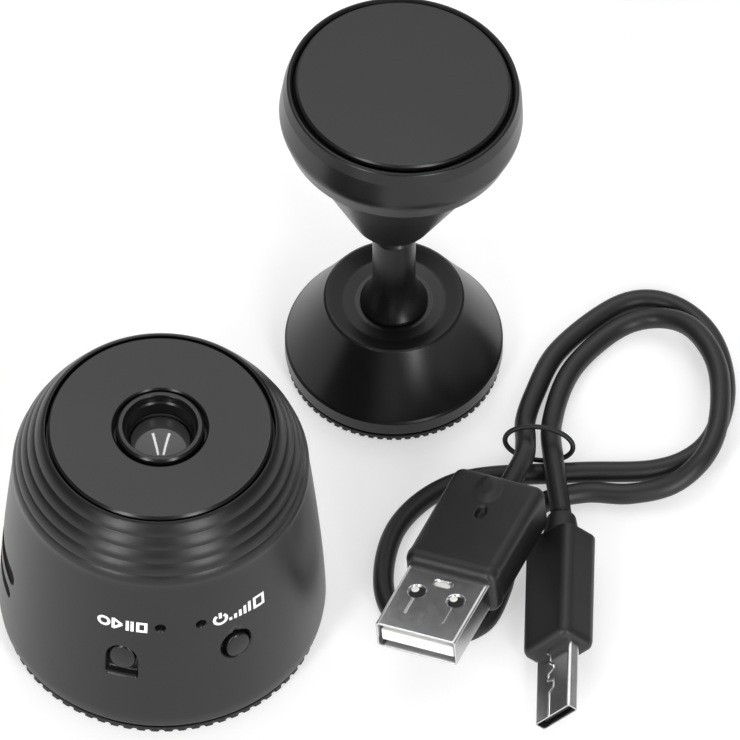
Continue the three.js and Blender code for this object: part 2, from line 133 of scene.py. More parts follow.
NEARLY_STRAIGHT = 0.03  # radians short of a half turn
RUN_SHARE = 0.46  # most of a straight run that a corner may use up
SUPPORT = 0.12
LEAST_SUPPORT = 0.01


def rounded(points, radius=0.25, steps=4, closed=False):
    """A profile with each corner turned into an arc of the given radius, or of the radius that a third value
    of the point gives. Short support points beside each arc keep the flats flat when shaded smooth."""
    points = [tuple(p) + (radius,) * (3 - len(p)) for p in points]
    out = []
    count = len(points)
    for i, (x, y, r) in enumerate(points):
        here = np.array([x, y], float)
        if not closed and i in (0, count - 1):
            out.append(here)
            continue
        before = np.array(points[i - 1][:2], float) - here
        after = np.array(points[(i + 1) % count][:2], float) - here
        run_in, run_out = np.linalg.norm(before), np.linalg.norm(after)
        before, after = before / run_in, after / run_out
        angle = math.acos(float(np.clip(before @ after, -1, 1)))
        if angle > math.pi - NEARLY_STRAIGHT or r <= 0:
            out.append(here)
            continue
        reach = min(r / math.tan(angle / 2), RUN_SHARE * run_in, RUN_SHARE * run_out)
        r = reach * math.tan(angle / 2)
        middle = here + (before + after) / np.linalg.norm(before + after) * (r / math.sin(angle / 2))
        start, end = here + before * reach, here + after * reach
        spare_in, spare_out = (min(SUPPORT, 0.5 * (run - 2 * reach)) for run in (run_in, run_out))
        if spare_in > LEAST_SUPPORT:
            out.append(start + before * spare_in)
        a0 = math.atan2(*(start - middle)[::-1])
        a1 = math.atan2(*(end - middle)[::-1])
        sweep = (a1 - a0 + math.pi) % TURN - math.pi
        for t in np.linspace(0, 1, steps + 1):
            a = a0 + sweep * t
            out.append(middle + r * np.array([math.cos(a), math.sin(a)]))
        if spare_out > LEAST_SUPPORT:
            out.append(end + after * spare_out)
    return np.array(out)


def grid_faces(rows, columns, wrap_rows=False, wrap_columns=True, start=0):
    """Quads between neighbouring rows and columns of a grid numbered row by row."""
    i = np.arange(rows if wrap_rows else rows - 1)[:, None]
    j = np.arange(columns if wrap_columns else columns - 1)[None, :]
    i2, j2 = (i + 1) % rows, (j + 1) % columns
    quads = np.stack([i * columns + j, i * columns + j2, i2 * columns + j2, i2 * columns + j], -1)
    return (quads.reshape(-1, 4) + start).tolist()


def fan(ring, centre, flip=False):
    """Triangles from a ring of vertex numbers to one centre vertex."""
    ring = list(ring)
    pairs = zip(ring, ring[1:] + ring[:1])
    return [(b, a, centre) if flip else (a, b, centre) for a, b in pairs]


def turned(profile, segments=160, scallop=None):
    """A surface of revolution about Z: each profile point (r, z) becomes a ring (r cos a, r sin a, z). A row
    on the axis becomes one pole. scallop changes r from (r, z, angle) before the rings are placed."""
    profile = np.asarray(profile, float)
    closed = profile[0, 0] > 1e-9 and profile[-1, 0] > 1e-9
    body = profile if closed else profile[1:-1]
    angle = np.linspace(0, TURN, segments, endpoint=False)[None, :]
    r, z = body[:, :1], body[:, 1:]
    radius = np.broadcast_to(r, (len(body), segments)) if scallop is None else scallop(r, z, angle)
    points = np.stack([radius * np.cos(angle), radius * np.sin(angle), np.broadcast_to(z, radius.shape)], -1)
    points = points.reshape(-1, 3)
    faces = grid_faces(len(body), segments, wrap_rows=closed)
    if not closed:
        low, high = len(points), len(points) + 1
        points = np.vstack([points, [0, 0, profile[0, 1]], [0, 0, profile[-1, 1]]])
        faces += fan(range(segments), low, flip=True)
        faces += fan(range((len(body) - 1) * segments, len(body) * segments), high)
    return points, faces


def axes_of(direction):
    """Two unit vectors across a direction, the first as level as it can be, and the direction itself."""
    w = np.array(direction, float) / np.linalg.norm(direction)
    helper = np.array([0, 1.0, 0]) if abs(w[2]) > 0.9 else np.array([0, 0, 1.0])
    u = np.cross(helper, w)
    u /= np.linalg.norm(u)
    return np.stack([u, np.cross(w, u), w])


def placed(points, origin, axes):
    """Points whose columns are distances along three axes, set at an origin."""
    return np.asarray(points) @ np.asarray(axes) + np.asarray(origin)


def plug_axes(heading, pitch=0.0, roll=0.0):
    """A plug's own axes: across its width, the way it points, and up out of its broad face."""
    h, p, r = (math.radians(v) for v in (heading, pitch, roll))
    forward = np.array([-math.sin(h) * math.cos(p), -math.cos(h) * math.cos(p), math.sin(p)])
    side = np.array([-math.cos(h), math.sin(h), 0.0])
    up = np.cross(side, forward)
    across = side * math.cos(r) - up * math.sin(r)
    return np.stack([across, forward, np.cross(across, forward)])


QUARTER_POINTS = 16


def section(half_x, half_z, corner, count):
    """A rounded rectangle as count points, evenly spaced along its outline from where its right side ends."""
    corner = min(corner, half_x, half_z)
    dense = []
    for cx, cz, start in ((1, 1, 0), (-1, 1, 90), (-1, -1, 180), (1, -1, 270)):
        a = np.radians(np.linspace(start, start + 90, QUARTER_POINTS))
        x, z = cx * (half_x - corner) + corner * np.cos(a), cz * (half_z - corner) + corner * np.sin(a)
        dense.append(np.stack([x, z], 1))
    loop = np.vstack(dense + [dense[0][:1]])
    along = np.concatenate([[0], np.cumsum(np.hypot(*np.diff(loop, axis=0).T))])
    at = np.linspace(0, along[-1], count, endpoint=False)
    return np.stack([np.interp(at, along, loop[:, k]) for k in (0, 1)], 1)


def lofted(rows, count=128, relief=None):
    """A bar along Y through rounded rectangles. Each row is (y, half width, half height, corner radius), and
    each ring's points are spaced evenly along its outline. relief(x, y, nz) gives how far a point moves out
    along its side's normal, whose upward part is nz."""
    rows = np.asarray(rows, float)
    flat = np.array([section(*row[1:], count) for row in rows])
    tangent = np.roll(flat, -1, 1) - np.roll(flat, 1, 1)
    normal = np.stack([tangent[..., 1], -tangent[..., 0]], -1)
    normal /= np.linalg.norm(normal, axis=-1)[..., None]
    y = np.repeat(rows[:, :1], count, 1)
    if relief is not None:
        flat = flat + relief(flat[..., 0], y, normal[..., 1])[..., None] * normal
    return np.stack([flat[..., 0], y, flat[..., 1]], -1)


END_INSET = 0.3
LEAST_HALF = 0.04
LEAST_CORNER = 0.03


def bar_rows(size, start, end, radius, end_radius=None, inner=40, steps=6):
    """Rows of a bar of (half width, half height, corner) whose ends are rounded over: at r(1 - cos a) from an
    end the section is r(1 - sin a) smaller all round."""
    end_radius = radius if end_radius is None else end_radius
    a = np.linspace(0, math.pi / 2, steps + 1)
    places = [(start, radius + END_INSET)]
    places += [(start + radius * (1 - math.cos(t)), radius * (1 - math.sin(t))) for t in a]
    places += [(y, 0.0) for y in np.linspace(start + radius, end - end_radius, inner + 2)[1:-1]]
    places += [(end - end_radius * (1 - math.cos(t)), end_radius * (1 - math.sin(t))) for t in a[::-1]]
    places.append((end, end_radius + END_INSET))
    return inset_rows(size, places)


def inset_rows(size, places):
    """Rows of a bar whose section is smaller all round by the inset of each (y, inset)."""
    half_x, half_z, corner = size
    return [(y, max(half_x - inset, LEAST_HALF), max(half_z - inset, LEAST_HALF),
             max(corner - inset, LEAST_CORNER)) for y, inset in places]


def capped(grid):
    """Points and faces of a stack of rings with a flat fan over each end."""
    rows, count = grid.shape[:2]
    points = np.vstack([grid.reshape(-1, 3), grid[0].mean(0), grid[-1].mean(0)])
    faces = grid_faces(rows, count)
    faces += fan(range(count), rows * count, flip=True)
    faces += fan(range((rows - 1) * count, rows * count), rows * count + 1)
    return points, faces


# ---------------------------------------------------------------- pieces and materials


def outward(mesh):
    """Turns every shell of a mesh to face out."""
    shell = bmesh.new()
    shell.from_mesh(mesh)
    bmesh.ops.recalc_face_normals(shell, faces=shell.faces)
    shell.to_mesh(mesh)
    shell.free()


def make_piece(name, points, faces, body, node=None, slot=None, finish=None, sharp=None, recalculate=False):
    """One closed mesh from points in millimetres and faces, smooth shaded, riding on a body of the frame. It
    hides the node that it stands for, and its finish is that node's slot's, or a given slot's, unless a finish is
    named."""
    slot = slot or SLOT_OF[node]
    mesh = bpy.data.meshes.new(name)
    mesh.from_pydata((np.asarray(points) * MM).tolist(), [], faces)
    mesh.validate()
    mesh.polygons.foreach_set("use_smooth", np.ones(len(mesh.polygons), bool))
    if sharp:
        mesh.set_sharp_from_angle(angle=math.radians(sharp))
    mesh.update()
    mesh.materials.append(finish_for(finish or slot))
    if recalculate:
        outward(mesh)
    piece = bpy.data.objects.new(name, mesh)
    bpy.context.scene.collection.objects.link(piece)
    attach(piece, body)
    if node:
        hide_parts(node)
    return piece


def spun(name, profile, body, node, segments, origin=(0, 0, 0), axes=np.eye(3), scallop=None):
    """A turned piece that stands for a node, set at an origin with its axis along the last of three axes."""
    points, faces = turned(profile, segments, scallop)
    return make_piece(name, placed(points, origin, axes), faces, body, node)


class Wire:
    """A value socket in a material. Python's operators on it add the Math nodes that work the result out."""

    def __init__(self, recipe, socket):
        self.recipe = recipe
        self.socket = socket

    def math(self, operation, *values):
        """One Math node on values or wires."""
        return self.recipe.node("ShaderNodeMath", {"operation": operation}, *values)

    def __add__(self, other):
        return self.math("ADD", self, other)

    __radd__ = __add__

    def __sub__(self, other):
        return self.math("SUBTRACT", self, other)

    def __rsub__(self, other):
        return self.math("SUBTRACT", other, self)

    def __mul__(self, other):
        return self.math("MULTIPLY", self, other)

    __rmul__ = __mul__

    def __pow__(self, other):
        return self.math("POWER", self, other)

    def between(self, low, high):
        """0 at low, 1 at high, clamped."""
        return self.recipe.node("ShaderNodeMapRange", {}, self, low, high, 0.0, 1.0)


class Recipe:
    """A node tree and its output shader, with constants set on the shader's own sockets."""

    def __init__(self, name, color, roughness, metallic=0.0, **constants):
        self.material = bpy.data.materials.new(name)
        self.material.use_nodes = True
        self.tree = self.material.node_tree
        self.shader = self.tree.nodes["Principled BSDF"]
        self.put("Base Color", color)
        self.put("Roughness", roughness)
        self.put("Metallic", metallic)
        for socket, value in constants.items():
            self.put(socket.replace("_", " "), value)

    def put(self, socket, value):
        """A constant or a link on one of the shader's sockets."""
        self.fill(self.shader.inputs[socket], value)

    def fill(self, target, value):
        """Links a wire to a socket, or sets a colour or a number on it."""
        if isinstance(value, Wire):
            self.tree.links.new(value.socket, target)
        elif isinstance(value, (tuple, list)) and target.type == "RGBA":
            target.default_value = (*value[:3], 1.0)
        else:
            target.default_value = value

    def node(self, kind, settings, *values, output=0, **named):
        """Adds a node: its settings first, then values or wires into its sockets in order, or by name."""
        made = self.tree.nodes.new(kind)
        for key, value in settings.items():
            setattr(made, key, value)
        for key, value in [*enumerate(values), *named.items()]:
            self.fill(made.inputs[key], value)
        return Wire(self, made.outputs[output])

    def place(self):
        """The point on the piece, in metres."""
        return self.node("ShaderNodeTexCoord", {}, output="Object")

    def along(self, axis):
        """One coordinate of the place, 0 for X, 1 for Y and 2 for Z."""
        return self.node("ShaderNodeSeparateXYZ", {}, self.place(), output=axis)

    def noise(self, size_mm, detail=2.0, stretch=(1, 1, 1)):
        """Soft noise whose features are about size_mm across, longer where stretch is small."""
        where = self.node("ShaderNodeMapping", {}, self.place(), Scale=stretch)
        return self.node("ShaderNodeTexNoise", {}, Vector=where, Scale=1.0 / (size_mm * MM), Detail=detail)

    def cells(self, size_mm, **settings):
        """Distance to the nearest of scattered points about size_mm apart."""
        return self.node("ShaderNodeTexVoronoi", settings, Vector=self.place(), Scale=1.0 / (size_mm * MM))

    def mix(self, share, low, high):
        """A colour from low to high by share."""
        made = self.tree.nodes.new("ShaderNodeMix")
        made.data_type = "RGBA"
        for index, value in ((0, share), (6, low), (7, high)):
            self.fill(made.inputs[index], value)
        return Wire(self, made.outputs[2])

    def bump(self, height, depth_mm):
        """Feeds a height from 0 to 1, depth_mm deep, to the shader's normal."""
        bump = self.node("ShaderNodeBump", {}, Strength=1.0, Distance=depth_mm * MM, Height=height)
        self.put("Normal", bump)


def shade_pair(color, spread):
    """A darker and a lighter neighbour of a colour."""
    return tuple(c * (1 - spread) for c in color), tuple(c * (1 + spread) for c in color)


def moulded(name, color, roughness, grain_mm=0.12, depth_mm=0.006, spread=0.12, coat=0.0, shine=0.38):
    """Moulded plastic: faint clouding of colour, uneven sheen, and a fine spark-eroded grain."""
    m = Recipe(name, color, roughness, Coat_Weight=coat, Coat_Roughness=0.12, Specular_IOR_Level=shine)
    cloud = m.noise(9.0, 3.0)
    fine = m.noise(grain_mm, 2.0)
    m.put("Base Color", m.mix(cloud.between(0.3, 0.7), *shade_pair(color, spread)))
    m.put("Roughness", roughness - 0.04 + cloud * 0.05 + fine * 0.04)
    m.bump(fine * 0.7 + m.cells(grain_mm * 1.7) * 0.5, depth_mm)
    return m.material


def brushed(name, color, roughness, stretch=(1, 0.04, 1), depth_mm=0.004, metallic=1.0):
    """Rolled or brushed metal: hairlines drawn out along one way, with cloudy patches."""
    m = Recipe(name, color, roughness, metallic)
    hair = m.noise(0.12, 3.0, stretch)
    patch = m.noise(4.0, 2.0)
    m.put("Base Color", m.mix(patch.between(0.3, 0.7), *shade_pair(color, 0.06)))
    m.put("Roughness", roughness - 0.05 + hair * 0.12 + patch * 0.04)
    m.bump(hair, depth_mm)
    return m.material


def rubbery(name, color, roughness):
    """Soft moulded rubber: matt skin with a pebbled grain and a little bloom."""
    m = Recipe(name, color, roughness, Specular_IOR_Level=0.42)
    bloom = m.noise(5.0, 3.0)
    fine = m.noise(0.16, 2.0)
    m.put("Base Color", m.mix(bloom.between(0.3, 0.75), *shade_pair(color, 0.14)))
    m.put("Roughness", roughness - 0.05 + bloom * 0.06 + fine * 0.06)
    m.bump(fine * 0.6 + m.cells(0.3) * 0.4, 0.008)
    return m.material


def circuit(name):
    """Lacquered circuit board: green mask over fine tracks, with tinned pads."""
    m = Recipe(name, (0.012, 0.10, 0.045), 0.35, Coat_Weight=0.4)
    lines = 1.0 - m.cells(1.1, feature="DISTANCE_TO_EDGE").between(0.05, 0.10)
    pads = 1.0 - m.cells(1.1, distance="CHEBYCHEV").between(0.16, 0.2)
    green = m.mix(lines, (0.010, 0.085, 0.038), (0.03, 0.19, 0.08))
    m.put("Base Color", m.mix(pads, green, (0.62, 0.56, 0.38)))
    m.put("Metallic", pads)
    m.put("Roughness", 0.4 - pads * 0.12 + m.noise(0.3) * 0.08)
    m.bump(pads + lines * 0.5, 0.02)
    return m.material


def lens_coating(name):
    """The lens's front: a smoke-grey pool with the faint tint of its coating, and a dark ring of painted shade
    round its edge, where the glass sits under the bezel's lip.
    """
    m = Recipe(name, (0.1, 0.1, 0.1), 0.04, IOR=1.6, Coat_Weight=0.5, Coat_Roughness=0.02)
    x, y = m.along(0), m.along(1)
    # The dark ring at the glass's edge is painted shade, for the shade under the bezel's lip.
    rim = ((x * x + y * y) ** 0.5).between(0.0039, 0.00415)
    pool = m.mix(m.noise(2.5).between(0.35, 0.65) * 0.3, (0.046, 0.046, 0.047), (0.038, 0.038, 0.041))
    m.put("Base Color", m.mix(rim, pool, (0.01, 0.01, 0.012)))
    m.put("Roughness", 0.04 + m.noise(0.8) * 0.02)
    return m.material


def printed(name):
    """White printing ink, a little uneven where it lies thin."""
    m = Recipe(name, (0.8, 0.8, 0.78), 0.5)
    thin = m.noise(0.25, 3.0)
    m.put("Base Color", m.mix(thin.between(0.25, 0.45), (0.55, 0.55, 0.55), (0.86, 0.86, 0.85)))
    m.bump(thin, 0.01)
    return m.material


MATERIALS = {}


def finish_for(slot):
    """The material of one slot of the record, or of the printed signs, made once."""
    if slot not in MATERIALS:
        tone = bpy.context.scene.dashcam_finish
        case, coat, lead, metal = (tuple(v) for v in (tone.case, tone.coat, tone.lead, tone.metal))
        maker, *values = {
            "case_plastic": (moulded, "satin_case", case, 0.34, 0.10, 0.0025),
            "cover_plastic": (moulded, "cover_black", case, 0.24, 0.2, 0.0008, 0.06),
            # dark_plastic also colours the black discs in the large plug's windows, which are painted shade.
            "dark_plastic": (moulded, "dark_inside", (0.004, 0.004, 0.0045), 0.5, 0.1, 0.002),
            "lens_glass": (lens_coating, "coated_lens"),
            "circuit_board": (circuit, "circuit_board"),
            "chip_plastic": (moulded, "chip_black", (0.010, 0.010, 0.011), 0.45, 0.05, 0.004),
            "foil": (brushed, "foil_wrap", (0.50, 0.52, 0.55), 0.3, (1, 0.3, 1)),
            "steel": (brushed, "plain_steel", (0.45, 0.46, 0.48), 0.3),
            "bright_plate": (brushed, "bright_plate", metal, 0.2, (1, 0.06, 1), 0.0015),
            "stand_paint": (moulded, "stand_coat", coat, 0.30, 0.14, 0.0012, 0.08),
            "pad_plastic": (moulded, "pad_face", coat, 0.30, 0.2, 0.0008, 0.05),
            "foot_rubber": (rubbery, "foot_rubber", (0.006, 0.006, 0.006), 0.7),
            "seat_plastic": (moulded, "seat_nylon", (0.72, 0.71, 0.66), 0.4),
            "contact_plastic": (moulded, "contact_ivory", (0.82, 0.82, 0.80), 0.35, 0.2, 0.003, 0.03),
            "lead_rubber": (rubbery, "lead_skin", lead, 0.42),
            "print": (printed, "white_print"),
        }[slot]
        MATERIALS[slot] = maker(*values)
    return MATERIALS[slot]


# ---------------------------------------------------------------- camera unit

WALL_FOOT_Z = 3.5
WALL_POWER = 1.35
SHOULDER_LINE = ((20.3, 31.8), (19.75, 34.1), (18.8, 36.3), (17.4, 38.7), (16.15, 40.65))
SHOULDER_R, SHOULDER_Z = SHOULDER_LINE[0]
BUTTON_Z = 16.0
BUTTON_TALL = 1.3
BUTTON_DEEP = 2.1
BUTTONS = {"mode": -14.3, "power": 29.6}
MODE_KEY_SUNK = 0.2
PINHOLES = (0.0, 15.3)
PINHOLE_Z = 23.4
PINHOLE_R = 0.7
PORT_SIDE = -90.0
PORT_Z = 16.0
PORT_SUNK = 1.7
CARD_SLIT_Z = 11.9
SLOTS = ((PORT_Z, 8.2, 1.3), (CARD_SLIT_Z, 7.4, 0.85))  # height, half width and half height
WELL_DEPTH, PINHOLE_DEPTH, SLOT_DEPTH = 1.3, 1.4, 2.1
RING_TALL = 1.0

# The wall's grid: close angles as middle, reach to each side and spacing, and rows as from, to and spacing.
COARSE_ANGLE = 2.5
FINE_ANGLES = (
    *[(at, 7.8, 7.9, 0.26) for at in BUTTONS.values()],
    *[(at, 2.2, 2.3, 0.2) for at in PINHOLES],
    *[(PORT_SIDE + edge, 1.3, 1.3, 0.26) for edge in (-21.6, -19.4, 19.4, 21.6)],
)
WALL_ROWS = ((WALL_FOOT_Z, SHOULDER_Z, 0.9), (10.6, 13.2, 0.12), (12.2, 19.8, 0.125), (22.4, 24.5, 0.11))
LEAST_ANGLE = 0.12
LEAST_RISE = 0.06


def side_radius(z):
    """The side wall's radius: it falls from the widest ring to the shoulder as a power of the height."""
    t = np.clip((np.asarray(z, float) - WALL_FOOT_Z) / (SHOULDER_Z - WALL_FOOT_Z), 0, 1)
    return BASE_R - (BASE_R - SHOULDER_R) * t ** WALL_POWER


def ripple_profile(count, bulge, samples=14):
    """The stepped shoulder: a smooth line through the shoulder's points, with count outward bulges of
    bulge * |sin| along the line's normal, and half a bulge taken off so that it keeps close to the line."""
    t = np.linspace(0, 1, count * samples + 1)
    knots = np.array(SHOULDER_LINE)
    along = np.concatenate([[0], np.cumsum(np.linalg.norm(np.diff(knots, axis=0), axis=1))])
    degree = len(knots) - 1
    r, z = (np.polyval(np.polyfit(along / along[-1], knots[:, k], degree), t) for k in (0, 1))
    slope = np.stack([np.gradient(r), np.gradient(z)], 1)
    slope /= np.linalg.norm(slope, axis=1)[:, None]
    lift = bulge * (np.abs(np.sin(t * count * math.pi)) ** 0.7 - 0.5 * np.sin(t * math.pi) ** 0.5)
    return np.stack([r + slope[:, 1] * lift, z - slope[:, 0] * lift], 1)


def thinned(values, least, digits):
    """All the values in order, less those that come closer than least to the one before."""
    values = np.unique(np.round(np.concatenate(values), digits))
    return values[np.concatenate([[True], np.diff(values) > least])]


def housing_lines():
    """The angles and heights of the wall's grid: coarse all round, and close where a key or hole is cut."""
    angles = [np.arange(-180, 180, COARSE_ANGLE)]
    angles += [np.arange(at - before, at + after, step) for at, before, after, step in FINE_ANGLES]
    return thinned(angles, LEAST_ANGLE, 2), thinned([np.arange(*row) for row in WALL_ROWS], LEAST_RISE, 3)


def oval_distance(x, y, half_x, half_y):
    """About how far a point is outside an oval: the oval's own measure less 1, times its mean radius."""
    return (np.hypot(x / half_x, y / half_y) - 1) * (half_x + half_y) / 2


def wall_cuts(angle, z, radius):
    """How deep the wall is cut at (angle, height): wells round the keys, pinholes, and the two slots."""
    wells = {"mode": lambda s, h: np.minimum(oval_distance(s, h, 2.25, 2.85),
                                             box_distance(s, h + 1.75, 2.25, 1.5, 0.3)),
             "power": lambda s, h: oval_distance(s + 0.4, h - 1.05, 2.35, 2.6)}
    depths = [np.zeros(np.broadcast_shapes(angle.shape, z.shape))]
    for name, at in BUTTONS.items():
        well = wells[name](np.radians(angle - at) * radius, z - BUTTON_Z)
        depths.append(WELL_DEPTH * inside(well, -0.14, 0.12))
    for at in PINHOLES:
        hole = np.hypot(np.radians(angle - at) * radius, z - PINHOLE_Z) - PINHOLE_R
        depths.append(PINHOLE_DEPTH * inside(hole, -0.14, 0.1))
    s = np.radians(angle - PORT_SIDE) * radius
    for middle, half_s, half_z in SLOTS:
        slot = box_distance(s, z - middle, half_s, half_z, half_z * 0.9)
        depths.append(SLOT_DEPTH * inside(slot, -0.16, 0.12))
    return np.maximum.reduce(depths)


def on_wall(angle, radius, z):
    """Points at angles round the case, counted from its front, at radii and heights."""
    return np.stack([radius * np.sin(angle), -radius * np.cos(angle), np.broadcast_to(z, radius.shape)], -1)


def wall_axes(angle):
    """Axes at a place on the wall: along it, up, and straight out."""
    a = math.radians(angle)
    return np.array([[math.cos(a), math.sin(a), 0], [0, 0, 1], [math.sin(a), -math.cos(a), 0]])


def build_housing(settings):
    """The case as one closed sheet on a grid of angles and profile rows: wall, shoulder, rim and inside."""
    angles, heights = housing_lines()
    foot = rounded([(18.6, 6.0), (18.6, 1.3), (21.7, 1.3), (22.35, 2.3), (BASE_R, 3.4)], 0.3)[:-1]
    wall = np.stack([side_radius(heights), heights], 1)
    rim = rounded([(16.0, 40.72), (15.85, 40.8), (15.72, 40.75), (15.72, 38.9), (14.2, 38.9), (14.2, 37.6),
                   (16.4, 36.2), (18.6, 32.0), (18.6, 12.0)], 0.16)[1:]
    profile = np.vstack([foot[1:], wall, ripple_profile(settings.ripples, settings.ripple_bulge)[1:], rim])
    outer = np.zeros(len(profile), bool)
    outer[len(foot) - 1:len(foot) - 1 + len(wall)] = True
    r, z = profile[:, :1], profile[:, 1:]
    points = on_wall(np.radians(angles)[None, :], r - wall_cuts(angles[None, :], z, r) * outer[:, None], z)
    make_piece("case_shell", points.reshape(-1, 3), grid_faces(len(profile), len(angles), wrap_rows=True),
               "camera", "housing")


def build_front(settings):
    """Cover disc, stepped lens bezel, the barrel's throat and the domed glass."""
    top = COVER_TOP
    cover = rounded([(6.42, top - 1.8), (15.38, top - 1.8), (15.38, top - 0.32), (15.05, top), (6.7, top),
                     (6.42, top - 0.25)], 0.1, closed=True)
    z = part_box("lens_bezel")[1].z / MM
    bezel = rounded([(7.6, 38.3), (7.6, 38.8), (5.98, 38.8), (5.98, z - 0.3, 0.12), (5.7, z, 0.12),
                     (5.15, z, 0.12), (4.98, z - 0.5, 0.1), (4.86, 40.3, 0.1), (4.62, 40.1, 0.08),
                     (4.45, 38.5), (4.4, 38.3)], 0.08, closed=True)
    threads = [(4.5 - 0.1 * (k % 2), 38.0 - 0.16 * k, 0.03) for k in range(5)]
    barrel = rounded([(2.6, 30.5), (5.2, 30.5), (5.2, 38.0), *threads, (4.5, 36.75), (2.6, 36.4)], 0.1,
                     closed=True)
    dome = [(4.1 * k, 38.5 - settings.lens_dome * k * k) for k in np.linspace(0, 1, 40)[::-1]]
    glass = [(0.0, 36.4), (4.15, 36.4), (4.15, 38.3 - settings.lens_dome), *dome]
    for name, profile, node, segments in (
            ("cover_disc", cover, "front_cover", 256), ("bezel_ring", bezel, "lens_bezel", 192),
            ("barrel_throat", barrel, "lens_barrel", 128), ("front_glass", glass, "lens_glass", 160)):
        spun(name, profile, "camera", node, segments)


def build_buttons(settings):
    """Two oval keys with a soft dome and a rolled edge. Each face leans back with the wall: a point's reach
    out is less by the wall's slope times its height over the middle."""
    slope = float(side_radius(BUTTON_Z - 1) - side_radius(BUTTON_Z + 1)) / 2
    for name, angle in BUTTONS.items():
        face = float(side_radius(BUTTON_Z)) - (MODE_KEY_SUNK if name == "mode" else 0.0)
        low = face - BUTTON_DEEP
        dome = [(1.5 * k, face - settings.key_dome * k * k) for k in np.linspace(0, 1, 12)[::-1]]
        side = [(0.0, low), (1.85, low), (1.85, face - 0.55), (1.83, face - 0.4), (1.76, face - 0.27)]
        points, faces = turned([*side, (1.64, face - settings.key_dome - 0.05), *dome], 72)
        points = points * [1.0, BUTTON_TALL, 1.0]
        points[:, 2] -= slope * points[:, 1] * smooth(points[:, 2], low + 0.5, low + 1.0)
        node = f"{name}_button"
        make_piece(f"{name}_key", placed(points, (0, 0, BUTTON_Z), wall_axes(angle)), faces, node, node)


# Signs, in millimetres from the middle of each: straight lines as (x0, y0, x1, y1).
MODE_LINES = ((-1.05, 1.0, -1.05, -1.0), (-1.05, 0.95, 0.2, 0.0), (0.2, 0.0, -1.05, -0.95),
              (0.95, 1.0, 0.95, -1.0), (1.62, 1.0, 1.62, -1.0), (2.4, 0.78, 3.5, 0.78),
              (2.4, -0.78, 3.5, -0.78), (2.4, 1.0, 2.4, -1.0), (3.5, 1.0, 3.5, -1.0))
POWER_LINES = ((-2.4, 0.1, -2.4, 1.2),
               *[(-0.9 + 0.75 * k, -1.0, -0.9 + 0.75 * k, -0.45 + 0.36 * k) for k in range(5)],
               (2.95, -0.95, 4.4, -0.95), (2.95, 0.95, 4.4, 0.95), (2.95, -1.15, 2.95, 1.15),
               (4.4, -1.15, 4.4, 1.15))
INK_RISE, INK_SUNK = 0.035, -0.06


def arc(x, y, radius, start, end, count):
    """Points along a circle's arc, from a start to an end in degrees."""
    a = np.radians(np.linspace(start, end, count))
    return np.stack([x + radius * np.cos(a), y + radius * np.sin(a)], 1)


def straight(x0, y0, x1, y1, count=8):
    """Evenly spaced points from one place to another."""
    return np.stack([np.linspace(x0, x1, count), np.linspace(y0, y1, count)], 1)


def ribbon_sides(points, width):
    """The two sides of a flat ribbon: at each point, half the width across the mean direction."""
    d = np.gradient(points, axis=0)
    d /= np.linalg.norm(d, axis=1)[:, None]
    across = np.stack([-d[:, 1], d[:, 0]], 1) * width / 2
    return points + across, points - across


def printed_sign(name, angle, paths, width):
    """A printed sign on the wall: each path is a raised ribbon whose points follow the wall's radius."""
    points, faces = [], []
    for path in paths:
        count, start = len(path), len(points)
        for lift in (INK_RISE, INK_SUNK):
            for side in ribbon_sides(path, width):
                z = PINHOLE_Z + side[:, 1]
                radius = side_radius(z)
                points.extend(on_wall(math.radians(angle) + side[:, 0] / radius, radius + lift, z))
        ring = [start + k * count for k in (0, 1, 3, 2)]
        for k in range(count - 1):
            for a, b in zip(ring, ring[1:] + ring[:1]):
                faces.append((a + k, b + k, b + k + 1, a + k + 1))
        faces.append(tuple(ring[::-1]))
        faces.append(tuple(v + count - 1 for v in ring))
    make_piece(name, np.array(points), faces, "camera", slot="contact_plastic", finish="print", sharp=30,
               recalculate=True)


def build_signs(settings):
    """Generic signs over the keys: ring, play, pause and square for the mode, and a power ring with bars."""
    mode = [arc(-2.4, 0, 0.74, 0, 360, 40), *[straight(*line) for line in MODE_LINES]]
    power = [arc(-2.4, -0.1, 0.9, 125, 415, 36), *[straight(*line) for line in POWER_LINES]]
    printed_sign("mode_sign", BUTTONS["mode"] - 0.6, mode, settings.sign_stroke)
    printed_sign("power_sign", BUTTONS["power"] - 0.3, power, settings.sign_stroke)


def notched_ring(name, body, node, inner, outer, settings, origin=(0, 0, 0)):
    """A foot ring whose lower outside edge has bites out of it: the radius is less by the bite's depth times
    a clipped cosine of the angle, near the outside and below the top."""
    def bitten(r, z, angle):
        """The ring's radius at (r, z, angle)."""
        bite = np.clip(np.cos(angle * settings.notches) * 1.6 - 0.1, 0, 1) ** 0.8
        edge = float(r.max())
        share = smooth(r, 0.94 * edge, 0.99 * edge) * inside(z, RING_TALL - 0.35, RING_TALL - 0.15)
        return r - settings.notch_depth * bite * share

    ring = rounded([(inner, 0.0), (outer, 0.0), (outer, RING_TALL), (inner, RING_TALL)], 0.12, closed=True)
    pairs = zip(ring, np.roll(ring, -1, 0))
    rows = [p for a, b in pairs for p in np.linspace(a, b, 4)[:-1]]
    spun(name, rows, body, node, settings.notches * 12, origin, scallop=bitten)


def build_underside(settings):
    """Notched foot ring and the steel catch disc with its groove."""
    notched_ring("notched_foot", "camera", "base_ring", 16.95, 21.8, settings)
    disc = rounded([(0, 0), (6.0, 0.0), (6.2, 0.18), (6.6, 0.18), (6.8, 0.0), (16.4, 0.0), (16.4, 1.2),
                    (0, 1.2)], 0.12)
    spun("catch_disc", disc, "camera", "steel_disc", 192)


